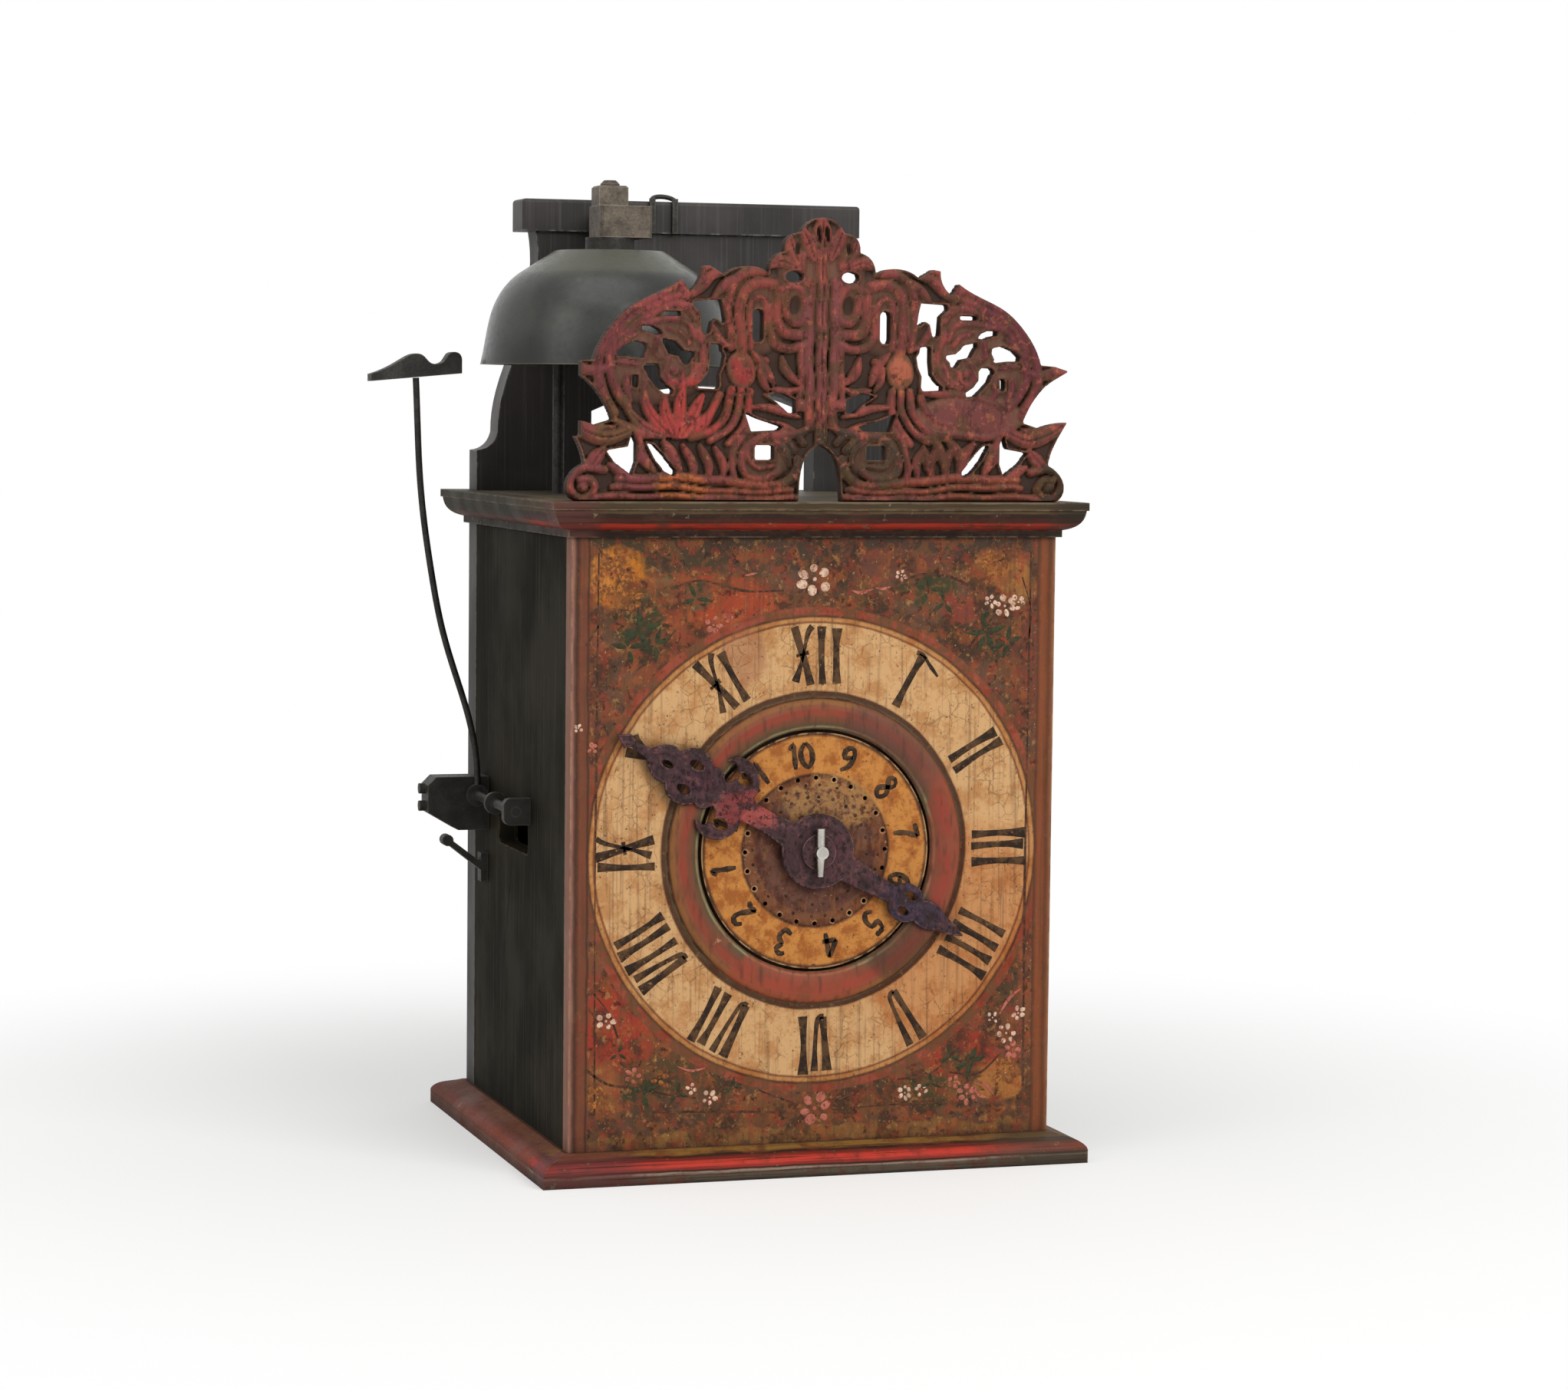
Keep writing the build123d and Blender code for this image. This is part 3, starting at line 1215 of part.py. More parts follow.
# The count wheel: a notch after each run of one to twelve strokes.
count_front = count_wheel_front + thin_wheel
strokes = sum(range(1, 13))
with BuildPart() as count_wheel:
    with BuildSketch(layer(count_front)):
        phase = count_direction + 180.0 + 180.0 / count_teeth
        draw_wheel(count_at, count_teeth, motion_module, phase, 3.0, 5.0, pivot_hole)
    extrude(amount=thin_wheel)
    with BuildSketch(layer(count_front + count_disc_thickness)):
        with Locations(count_at):
            Circle(count_disc_radius)
            Circle(pivot_hole, mode=Mode.SUBTRACT)
            done = 0
            for hour in range(1, 13):
                done += hour
                with PolarLocations(count_disc_radius, 1, start_angle=360.0 * done / strokes):
                    Rectangle(5.0, 2.2, mode=Mode.SUBTRACT)
    extrude(amount=count_disc_thickness)
count_wheel.part.label = "count_wheel"
export_step(count_wheel.part, "parts/count_wheel.step")

with BuildPart() as count_stud:
    with BuildSketch(layer(count_front + count_disc_thickness + end_gap)):
        draw_step(count_at, pivot_radius)
    extrude(amount=count_front + count_disc_thickness + end_gap - rear_plate_front)
    with BuildSketch(layer(count_front + count_disc_thickness + end_gap + 2.0)):
        draw_step(count_at, 2 * pivot_radius)
    extrude(amount=2.0)
    with BuildSketch(layer(count_wheel_front - end_gap)):
        draw_step(count_at, 2 * pivot_radius)
    extrude(amount=count_wheel_front - end_gap - rear_plate_rear)
count_stud.part.label = "count_stud"
export_step(count_stud.part, "parts/count_stud.step")

# The detent: an arbor with one arm resting over the count wheel and one over the locking wheel.
detent_run = sqrt((count_at[0] - detent_at[0]) ** 2 + (count_at[1] - detent_at[1]) ** 2)
detent_turn = degrees(atan2(count_at[1] - detent_at[1], count_at[0] - detent_at[0]))
detent_arm = detent_run - count_disc_radius - detent_gap
locking_tip = train_module * great_teeth / 2 + addendum_share * train_module
locking_run = sqrt((second_at[0] - detent_at[0]) ** 2 + (second_at[1] - detent_at[1]) ** 2)
locking_turn = degrees(atan2(second_at[1] - detent_at[1], second_at[0] - detent_at[0]))
locking_arm = locking_run - locking_tip - 1.0
detent_steps = [
    (middle_plate_front + end_gap, middle_plate_rear + end_gap, pivot_radius),
    (middle_plate_rear + end_gap, rear_plate_front - end_gap, slim_arbor_radius + 0.5),
    (rear_plate_front - end_gap, count_front + count_disc_thickness, journal_radius),
]
detent_arms = [
    (count_front + count_disc_thickness, detent_turn, detent_arm),
    (locking_wheel_front + thin_wheel, locking_turn, locking_arm),
]
with BuildPart() as detent_lever:
    for y_from, y_to, radius in detent_steps:
        with BuildSketch(layer(y_to)):
            draw_step(detent_at, radius)
        extrude(amount=y_to - y_from)
    for y_to, turn, length in detent_arms:
        with BuildSketch(layer(y_to)):
            with Locations(Location(detent_at, turn)):
                Circle(5.0)
                with Locations((length / 2, 0)):
                    Rectangle(length, 2.0)
        extrude(amount=2.0)
detent_lever.part.label = "detent_lever"
export_step(detent_lever.part, "parts/detent_lever.step")

# Striking hammer outside the left side board.
hammer_x = -half_width - hammer_axis_out
hammer_at = (hammer_x, hammer_axis_height)
rear_cock_front = hammer_arbor_rear - rear_cock_depth + 1.0
hammer_hub_radius = 4.6
rod_run = [(0, 0), (-0.8, 19), (-4, 34), (-9.4, 51), (-15, 69.5), (-19.8, 93.5), (-22.8, 113.3),
           (-24.8, 132.8), (-25.8, 152), (-26.7, hammer_top - hammer_axis_height - 0.8)]
with BuildPart() as hammer_rod:
    with BuildSketch(layer(hammer_rod_y + hammer_rod_radius)):
        with Locations(hammer_at):
            Circle(hammer_hub_radius)
            Circle(hammer_arbor_radius, mode=Mode.SUBTRACT)
    extrude(amount=2 * hammer_rod_radius)
    with BuildLine() as rod_path:
        Spline(*[(hammer_x + x, hammer_rod_y, hammer_axis_height + z) for x, z in rod_run])
    with BuildSketch(Plane(rod_path.line @ 0, z_dir=rod_path.line % 0)):
        Circle(hammer_rod_radius - 0.05)
    sweep()
    with BuildSketch(layer(hammer_rod_y + hammer_rod_radius)):
        draw_step(hammer_at, hammer_arbor_radius)
    extrude(amount=2 * hammer_rod_radius, mode=Mode.SUBTRACT)
hammer_rod.part.label = "hammer_rod"
export_step(hammer_rod.part, "parts/hammer_rod.step")

# The head, seen from the front: a pointed tail, a hump over the rod and an upturned nose.
head_x = hammer_x + rod_run[-1][0]
with BuildPart() as hammer_head:
    with BuildSketch(layer(hammer_rod_y + hammer_head_width / 2)):
        with BuildLine():
            Line((head_x - 19.6, hammer_top - 2.4), (head_x + 18.8, hammer_top + 1.2))
            Line((head_x + 18.8, hammer_top + 1.2), (head_x + 18.8, hammer_top + 7.0))
            Spline((head_x + 18.8, hammer_top + 7.0), (head_x + 16.2, hammer_top + 10.0),
                   (head_x + 13.8, hammer_top + 9.6), (head_x + 11.4, hammer_top + 6.4),
                   (head_x + 8.4, hammer_top + 5.0), (head_x + 5.6, hammer_top + 5.4),
                   (head_x + 2.4, hammer_top + 8.4), (head_x - 0.6, hammer_top + 9.2),
                   (head_x - 4.6, hammer_top + 7.8), (head_x - 9.3, hammer_top + 5.0),
                   (head_x - 15, hammer_top + 2.2), (head_x - 19.6, hammer_top + 0.6))
            Line((head_x - 19.6, hammer_top + 0.6), (head_x - 19.6, hammer_top - 2.4))
        make_face()
    extrude(amount=hammer_head_width)
hammer_head.part.label = "hammer_head"
export_step(hammer_head.part, "parts/hammer_head.step")

tail_reach = -hammer_x - strike_pin_circle - strike_pin_radius - 2.0
tail_drop = great_height + tail_lift - hammer_axis_height
tail_turn = degrees(atan2(tail_drop, tail_reach))
tail_length = sqrt(tail_reach**2 + tail_drop**2)
with BuildPart() as hammer_arbor:
    with BuildSketch(layer(hammer_arbor_rear)):
        draw_step(hammer_at, hammer_arbor_radius)
    extrude(amount=hammer_arbor_rear - hammer_arbor_front)
    with BuildSketch(layer(hammer_tail_y + hammer_tail_thickness / 2)):
        with Locations(Location(hammer_at, tail_turn)):
            Circle(hammer_hub_radius)
            with Locations((tail_length / 2, 0)):
                Rectangle(tail_length, 4.0)
    extrude(amount=hammer_tail_thickness)
hammer_arbor.part.label = "hammer_arbor"
export_step(hammer_arbor.part, "parts/hammer_arbor.step")

arbor_bore = hammer_arbor_radius + running_gap
with BuildPart() as front_hammer_cock:
    with BuildSketch(layer(hammer_arbor_front + cock_thickness)):
        with Locations((-half_width - (hammer_axis_out + 5.0) / 2, hammer_axis_height)):
            Rectangle(hammer_axis_out + 5.0, 11.0)
        with Locations(hammer_at):
            Circle(arbor_bore, mode=Mode.SUBTRACT)
    extrude(amount=cock_thickness)
    fillet(front_hammer_cock.edges().filter_by(Axis.Y).group_by(Axis.X)[0], 3.0)
front_hammer_cock.part.label = "front_hammer_cock"
export_step(front_hammer_cock.part, "parts/front_hammer_cock.step")

cock_out = 26.0
cock_low_z = hammer_axis_height - 15.0
cock_high_z = hammer_axis_height + 7.5
with BuildPart() as rear_hammer_cock:
    with BuildSketch(layer(hammer_arbor_rear + 1.0)):
        Polygon((-half_width, cock_low_z), (-half_width, cock_high_z),
                (-half_width - cock_out + 3.5, cock_high_z), (-half_width - cock_out, cock_high_z - 3.5),
                (-half_width - cock_out, cock_low_z + 7.6), (-half_width - cock_out + 13.0, cock_low_z))
        with Locations(hammer_at):
            Circle(arbor_bore, mode=Mode.SUBTRACT)
    extrude(amount=rear_cock_depth)
    with BuildSketch(Plane.YZ.offset(-half_width - cock_out)):
        for z in (hammer_axis_height - 5.0, hammer_axis_height + 2.3):
            with Locations((hammer_arbor_rear + 1.0 - rear_cock_depth / 2, z)):
                Circle(2.2)
    extrude(amount=-2.6)
rear_hammer_cock.part.label = "rear_hammer_cock"
export_step(rear_hammer_cock.part, "parts/rear_hammer_cock.step")

spring_y = hammer_arbor_rear - 8.0
spring_foot_z = hammer_axis_height - spring_drop
with BuildPart() as hammer_spring:
    with BuildSketch(layer(spring_y + 3.0)):
        with Locations((-half_width - 1.5, spring_foot_z)):
            Rectangle(3.0, 12.0)
        Polygon((-half_width - 2.0, spring_foot_z - 2.0), (-half_width - 2.0, spring_foot_z + 1.5),
                (-half_width - 16.5, spring_foot_z + 12.5), (-half_width - 18.0, spring_foot_z + 10.6))
        with Locations((-half_width - 17.2, spring_foot_z + 11.6)):
            Circle(2.4)
    extrude(amount=6.0)
hammer_spring.part.label = "hammer_spring"
export_step(hammer_spring.part, "parts/hammer_spring.step")

# Alarm work in the rear left of the case, and its hammer on a long staff up into the bell.
bracket_low = alarm_axis_height - 18.0
bracket_half = 16.0
staff_foot = bracket_low + frame_plate
alarm_at = (alarm_x, alarm_axis_height)
ear_right = alarm_x + alarm_pulley_radius + 1.0
ear_left = -inner_half_width
with BuildPart() as alarm_bracket:
    for y_from in (alarm_front_ear, alarm_rear_ear):
        with BuildSketch(layer(y_from + frame_plate)):
            with Locations(((ear_left + ear_right) / 2, alarm_axis_height - 1.0)):
                Rectangle(ear_right - ear_left, 2 * bracket_half + 2.0)
            with Locations(alarm_at):
                Circle(pivot_hole, mode=Mode.SUBTRACT)
        extrude(amount=frame_plate)
    with BuildSketch(layer(alarm_rear_ear + frame_plate)):
        with Locations((ear_left + 1.0, alarm_axis_height - 1.0)):
            Rectangle(2.0, 2 * bracket_half + 2.0)
    extrude(amount=alarm_rear_ear + frame_plate - alarm_front_ear)
    with BuildSketch(Plane.XY.offset(bracket_low)):
        with Locations((alarm_x, (alarm_y - 4.0 + alarm_front_ear + 1.0) / 2)):
            Rectangle(7.0, alarm_front_ear + 1.0 - alarm_y + 4.0)
        with Locations((alarm_x, alarm_y)):
            Circle(pivot_hole, mode=Mode.SUBTRACT)
    extrude(amount=frame_plate)
alarm_bracket.part.label = "alarm_bracket"
export_step(alarm_bracket.part, "parts/alarm_bracket.step")

alarm_arbor_steps = [
    (alarm_crown_rear - 3.0, alarm_front_ear - end_gap, slim_arbor_radius),
    (alarm_front_ear - end_gap, alarm_pulley_front, pivot_radius),
    (alarm_pulley_front, alarm_pulley_front + alarm_pulley_width, slim_arbor_radius),
    (alarm_pulley_front + alarm_pulley_width, alarm_rear_ear + frame_plate, pivot_radius),
]
alarm_crown_teeth = 15
alarm_pulley_core = alarm_pulley_radius - 3.5
with BuildPart() as alarm_wheel:
    for y_from, y_to, radius in alarm_arbor_steps:
        with BuildSketch(layer(y_to)):
            draw_step(alarm_at, radius)
        extrude(amount=y_to - y_from)
    with BuildSketch(layer(alarm_crown_rear)):
        draw_step(alarm_at, alarm_crown_radius)
    extrude(amount=2.0)
    with BuildSketch(layer(alarm_crown_rear - 2.0)):
        with Locations(alarm_at):
            Circle(alarm_crown_radius)
            Circle(alarm_crown_radius - 2.0, mode=Mode.SUBTRACT)
    extrude(amount=alarm_crown_rear - 2.0 - alarm_crown_front)
    with BuildSketch(layer(alarm_crown_front + 3.0)):
        with Locations(alarm_at):
            with PolarLocations(alarm_crown_radius - 1.0, alarm_crown_teeth):
                Rectangle(4.0, 2.8)
    extrude(amount=3.0, mode=Mode.SUBTRACT)
    with BuildSketch(layer(alarm_pulley_front + alarm_pulley_width)):
        draw_step(alarm_at, alarm_pulley_radius)
    extrude(amount=3.0)
    with BuildSketch(layer(alarm_pulley_front + alarm_pulley_width - 3.0)):
        draw_step(alarm_at, alarm_pulley_core)
    extrude(amount=alarm_pulley_width - 6.0)
    with BuildSketch(layer(alarm_pulley_front + 3.0)):
        draw_step(alarm_at, alarm_pulley_radius)
    extrude(amount=3.0)
alarm_wheel.part.label = "alarm_wheel"
export_step(alarm_wheel.part, "parts/alarm_wheel.step")

bob_z = rim_z + 5.0
alarm_bob = polar(alarm_arm_length, alarm_arm_angle, (alarm_x, alarm_y))
alarm_pallet_reach = alarm_crown_radius - 1.0
with BuildPart() as alarm_hammer:
    with BuildSketch(Plane.XY.offset(bracket_low)):
        with Locations((alarm_x, alarm_y)):
            Circle(pivot_radius)
    extrude(amount=frame_plate + end_gap)
    with BuildSketch(Plane.XY.offset(staff_foot + end_gap)):
        with Locations((alarm_x, alarm_y)):
            Circle(alarm_staff_radius)
    extrude(amount=bob_z + 3.0 - staff_foot - end_gap)
    for angle, z in zip(pallet_angles, (alarm_axis_height + alarm_pallet_reach,
                                        alarm_axis_height - alarm_pallet_reach)):
        with BuildSketch(Plane.XY.offset(z - pallet_height / 2)):
            with Locations(Location((alarm_x, alarm_y), angle)):
                with Locations((pallet_length / 2, 0)):
                    Rectangle(pallet_length, pallet_thickness)
        extrude(amount=pallet_height)
    with BuildSketch(Plane.XY.offset(bob_z - 1.5)):
        with Locations(Location((alarm_x, alarm_y), alarm_arm_angle)):
            with Locations((alarm_arm_length / 2, 0)):
                Rectangle(alarm_arm_length, 3.0)
    extrude(amount=3.0)
    with Locations((alarm_bob[0], alarm_bob[1], bob_z)):
        Sphere(alarm_bob_radius)
alarm_hammer.part.label = "alarm_hammer"
export_step(alarm_hammer.part, "parts/alarm_hammer.step")
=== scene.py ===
import math
import random

import bmesh
import bpy
import numpy as np
from mathutils import Matrix, Vector


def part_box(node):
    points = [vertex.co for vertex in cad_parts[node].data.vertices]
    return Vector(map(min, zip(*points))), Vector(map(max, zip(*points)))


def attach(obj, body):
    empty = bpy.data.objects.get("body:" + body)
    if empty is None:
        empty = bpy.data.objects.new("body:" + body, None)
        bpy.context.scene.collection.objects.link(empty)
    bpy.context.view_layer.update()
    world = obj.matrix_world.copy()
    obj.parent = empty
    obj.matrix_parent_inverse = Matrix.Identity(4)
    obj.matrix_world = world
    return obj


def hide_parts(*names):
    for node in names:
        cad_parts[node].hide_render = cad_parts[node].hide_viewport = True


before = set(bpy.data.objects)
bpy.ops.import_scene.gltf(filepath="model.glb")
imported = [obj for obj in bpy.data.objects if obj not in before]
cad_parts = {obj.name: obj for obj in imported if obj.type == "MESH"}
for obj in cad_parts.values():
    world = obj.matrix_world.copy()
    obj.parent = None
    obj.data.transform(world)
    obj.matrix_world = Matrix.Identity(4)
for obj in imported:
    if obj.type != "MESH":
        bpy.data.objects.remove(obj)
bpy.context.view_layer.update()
random.seed(7)
mm = 0.001
boardFront, dialHeight, corniceTop = -88.0, 128.0, 266.0


def toLinear(hexColour):
    rgb = [int(hexColour[i:i + 2], 16) / 255 for i in (1, 3, 5)]
    return [c / 12.92 if c <= 0.04045 else ((c + 0.055) / 1.055) ** 2.4 for c in rgb] + [1.0]


def addNode(kind, inputs, out=0, tree=None, **settings):
    # one node with its settings and links, in the tree that its first linked input is in; colours may be hex text
    tree = tree or next(v for v in inputs.values() if isinstance(v, bpy.types.NodeSocket)).id_data
    node = tree.nodes.new("ShaderNode" + kind)
    for name, value in settings.items():
        setattr(node, name, value)
    for name, value in inputs.items():
        if isinstance(value, bpy.types.NodeSocket):
            tree.links.new(value, node.inputs[name])
        else:
            node.inputs[name].default_value = toLinear(value) if isinstance(value, str) else value
    return node.outputs[out]


def startMaterial(name, **sockets):
    material = bpy.data.materials.new(name)
    material.use_nodes = True
    shader = material.node_tree.nodes["Principled BSDF"]
    for socket, value in sockets.items():
        shader.inputs[socket.replace("_", " ")].default_value = value
    # object coordinates: metres in the clock's own frame
    place = addNode("TexCoord", {}, out=3, tree=material.node_tree)
    return material, shader, place


def dress(material, colour, heights, depth, strength, rough=None):
    # joins up the colour, bumps of a depth in mm, and the roughness where it varies
    shader = material.node_tree.nodes["Principled BSDF"]
    bump = addNode("Bump", {"Height": heights, "Distance": depth * mm, "Strength": strength})
    for name, socket in (("Base Color", colour), ("Normal", bump), ("Roughness", rough)):
        if socket is not None:
            material.node_tree.links.new(socket, shader.inputs[name])
    return material


def mmAlong(place, axis):
    # how far along an axis of the clock's frame, in mm
    metres = addNode("SeparateXYZ", {0: place}, out="XYZ".index(axis))
    return addNode("Math", {0: metres, 1: 1 / mm}, operation="MULTIPLY")


def grainAt(place, across, along, axis):
    # noise drawn out along the grain; across and along are feature sizes in mm
    scale = [1 / (across * mm)] * 3
    scale["XYZ".index(axis)] = 1 / (along * mm)
    stretched = addNode("Mapping", {"Vector": place, "Scale": scale})
    return addNode("TexNoise", {"Vector": stretched, "Scale": 1.0, "Detail": 5.0})


def patchesAt(place, size, detail, rough, low, high, share=1.0):
    # patches of a size in mm: 0 up to share where noise passes from low to high
    noise = addNode("TexNoise", {"Vector": place, "Scale": 1 / (size * mm), "Detail": detail, "Roughness": rough})
    return addNode("MapRange", {"Value": noise, "From Min": low, "From Max": high, "To Max": share},
                   interpolation_type="SMOOTHSTEP")


def stain(colour, value, low, high, share, paint, mode="MIX"):
    # paint over the colour where a value passes from low to high, up to a share, which may be a mask
    mask = addNode("MapRange", {"Value": value, "From Min": low, "From Max": high, "To Max": share},
                   interpolation_type="SMOOTHSTEP")
    return addNode("Mix", {0: mask, 6: colour, 7: paint}, out=2, data_type="RGBA", blend_type=mode)


def stainPatches(place, colour, size, detail, rough, low, high, share, paint, mode="MIX"):
    # paint over the colour in patches, as patchesAt gives them
    mask = patchesAt(place, size, detail, rough, low, high, share)
    return addNode("Mix", {0: mask, 6: colour, 7: paint}, out=2, data_type="RGBA", blend_type=mode)


def edgeWear(place, radius, share):
    # share on outer and inner edges, 0 on flats: how far a rounded normal leans from the true one
    rounded = addNode("Bevel", {"Radius": radius * mm}, tree=place.id_data, samples=6)
    flat = addNode("NewGeometry", {}, out=1, tree=place.id_data)
    lean = addNode("VectorMath", {0: rounded, 1: flat}, out=1, operation="DOT_PRODUCT")
    return addNode("MapRange", {"Value": lean, "From Min": 0.995, "From Max": 0.9, "To Max": share},
                   interpolation_type="SMOOTHSTEP")


print("camera and light")
view = {"target": (-13.5, -88.0, 189.9), "azimuth": -17.52, "elevation": 4.27, "roll": 0.61,
        "distance": 1572.0, "lens": 91.7}
lightSetup = {"keyPower": 24.0, "fillPower": 5.0, "topPower": 9.0, "skyStrength": 0.46}

azimuth, elevation, roll = (math.radians(view[k]) for k in ("azimuth", "elevation", "roll"))
back = Vector((math.sin(azimuth) * math.cos(elevation), -math.cos(azimuth) * math.cos(elevation),
               math.sin(elevation)))
level = (-back).cross(Vector((0, 0, 1))).normalized()
upright = level.cross(-back)
right = level * math.cos(roll) + upright * math.sin(roll)
up = -level * math.sin(roll) + upright * math.cos(roll)
camera = bpy.data.objects.new("camera", bpy.data.cameras.new("camera"))
camera.matrix_world = Matrix.Translation((Vector(view["target"]) + back * view["distance"]) * mm) @ Matrix(
    (right, up, back)).transposed().to_4x4()
camera.data.lens = view["lens"]
camera.data.sensor_width = 36.0
bpy.context.scene.collection.objects.link(camera)
bpy.context.scene.camera = camera
bpy.context.scene.view_settings.view_transform = "Standard"


def softLight(name, place, size, power):
    light = bpy.data.lights.new(name, "AREA")
    light.shape = "RECTANGLE"
    light.size, light.size_y = size
    light.energy = power
    lamp = bpy.data.objects.new(name, light)
    lamp.location = place
    lamp.rotation_euler = (Vector((0, 0, 0.2)) - lamp.location).to_track_quat("-Z", "Y").to_euler()
    bpy.context.scene.collection.objects.link(lamp)


softLight("keyLight", (0.7, -1.7, 1.2), (1.2, 1.2), lightSetup["keyPower"])
softLight("fillLight", (-1.6, -0.9, 0.9), (0.9, 1.4), lightSetup["fillPower"])
softLight("topLight", (-0.3, -0.5, 1.8), (1.4, 1.4), lightSetup["topPower"])

world = bpy.data.worlds.new("studio")
bpy.context.scene.world = world
world.use_nodes = True
skyTree = world.node_tree
rays = addNode("LightPath", {}, tree=skyTree).node.outputs
direct = addNode("Math", {0: rays["Is Camera Ray"], 1: rays["Is Glossy Ray"]}, operation="MAXIMUM")
direct = addNode("Math", {0: direct, 1: rays["Is Transmission Ray"]}, operation="MAXIMUM")
sky = addNode("MapRange", {"Value": direct, "To Min": lightSetup["skyStrength"]}, interpolation_type="SMOOTHSTEP")
skyTree.nodes["Background"].inputs["Color"].default_value = (1, 1, 1, 1)
skyTree.links.new(sky, skyTree.nodes["Background"].inputs["Strength"])

floorMesh = bpy.data.meshes.new("floor")
floorMesh.from_pydata([(-6, -6, 0), (6, -6, 0), (6, 6, 0), (-6, 6, 0)], [], [(0, 1, 2, 3)])
floor = bpy.data.objects.new("floor", floorMesh)
bpy.context.scene.collection.objects.link(floor)
floorPaper, shader, place = startMaterial("whitePaperFloor", Roughness=0.9, Base_Color=toLinear("#F4F4F2"))
tree = floorPaper.node_tree
# the paper glows white to the camera, less so near the clock, where its shadow shows
distance = addNode("VectorMath", {0: place}, out=1, operation="LENGTH")
glow = addNode("MapRange", {"Value": distance, "From Min": 0.2, "From Max": 0.55, "To Min": 0.35},
               interpolation_type="SMOOTHSTEP")
glow = addNode("Math", {0: glow, 1: addNode("LightPath", {}, tree=tree)}, operation="MULTIPLY")
light = addNode("Emission", {"Color": (1, 1, 1, 1), "Strength": 1.0}, tree=tree)
paper = addNode("MixShader", {0: glow, 1: shader.outputs[0], 2: light})
tree.links.new(paper, tree.nodes["Material Output"].inputs["Surface"])
floorMesh.materials.append(floorPaper)

print("materials")


def locatedBlob(place, spot, reach, strength=1.0, axes="XZ", tilt=0.0):
    # strength inside an ellipse about a point, in mm, falling off softly at its edge
    first, second = ("XYZ".index(letter) for letter in axes)
    shift, scale = [0.0] * 3, [0.0] * 3
    shift[first], shift[second] = -spot[0] * mm, -spot[1] * mm
    scale[first], scale[second] = 1 / (reach[0] * mm), 1 / (reach[1] * mm)
    centred = addNode("VectorMath", {0: place, 1: shift}, operation="ADD")
    if tilt:
        centred = addNode("VectorRotate", {"Vector": centred, "Angle": math.radians(tilt)},
                          rotation_type="XYZ"[3 - first - second] + "_AXIS")
    scaled = addNode("VectorMath", {0: centred, 1: scale}, operation="MULTIPLY")
    far = addNode("VectorMath", {0: scaled}, out=1, operation="LENGTH")
    return addNode("MapRange", {"Value": far, "From Min": 1.15, "From Max": 0.8, "To Max": strength},
                   interpolation_type="SMOOTHSTEP")


def wobbled(place, size, amount):
    # the place shifted by noise, so that painted edges wander as a brush does
    drift = addNode("TexNoise", {"Vector": place, "Scale": 1 / (size * mm), "Detail": 4.0, "Roughness": 0.55},
                    out=1)
    centred = addNode("VectorMath", {0: drift, 1: (0.5, 0.5, 0.5)}, operation="SUBTRACT")
    shift = addNode("VectorMath", {0: centred, "Scale": amount * mm}, operation="SCALE")
    return addNode("VectorMath", {0: place, 1: shift}, operation="ADD")


def paintFields(place, colour, fields, lift=0.0, mode="MIX"):
    # faded patches: (where, how large, colour, how strong), all of them lift mm higher up
    for (x, z), reach, paint, strength in fields:
        patch = locatedBlob(place, (x, z + lift), reach, strength)
        colour = addNode("Mix", {0: patch, 6: colour, 7: paint}, out=2, data_type="RGBA", blend_type=mode)
    return colour


def paintSmears(place, colour, smears, detail, rough):
    # smears of the brush and of rubbing: (size, noise from, noise to, how strong, colour)
    for size, low, high, share, paint in smears:
        loose = wobbled(place, size, size)
        colour = stainPatches(loose, colour, size, detail, rough, low, high, share, paint)
    return colour


def bandsAlong(value, bands, soft):
    # flat bands of colour along a value in mm; each band is (where it starts, its colour)
    low, high = bands[0][0], bands[-1][0] + 2 * soft
    share = addNode("MapRange", {"Value": value, "From Min": low, "From Max": high})
    banded = addNode("ValToRGB", {0: share})
    marks = banded.node.color_ramp.elements
    marks[0].color, marks[1].color = toLinear(bands[0][1]), toLinear(bands[-1][1])
    for (_, before), (start, after) in zip(bands, bands[1:]):
        for edge, colour in ((start - soft, before), (start + soft, after)):
            marks.new((edge - low) / (high - low)).color = toLinear(colour)
    return banded


def radiusOnDial(place):
    # how far from the dial's middle, in mm
    centred = addNode("Mapping", {"Vector": place, "Location": (0, 0, -dialHeight), "Scale": (1 / mm, 0, 1 / mm)})
    return addNode("VectorMath", {0: centred}, out=1, operation="LENGTH")


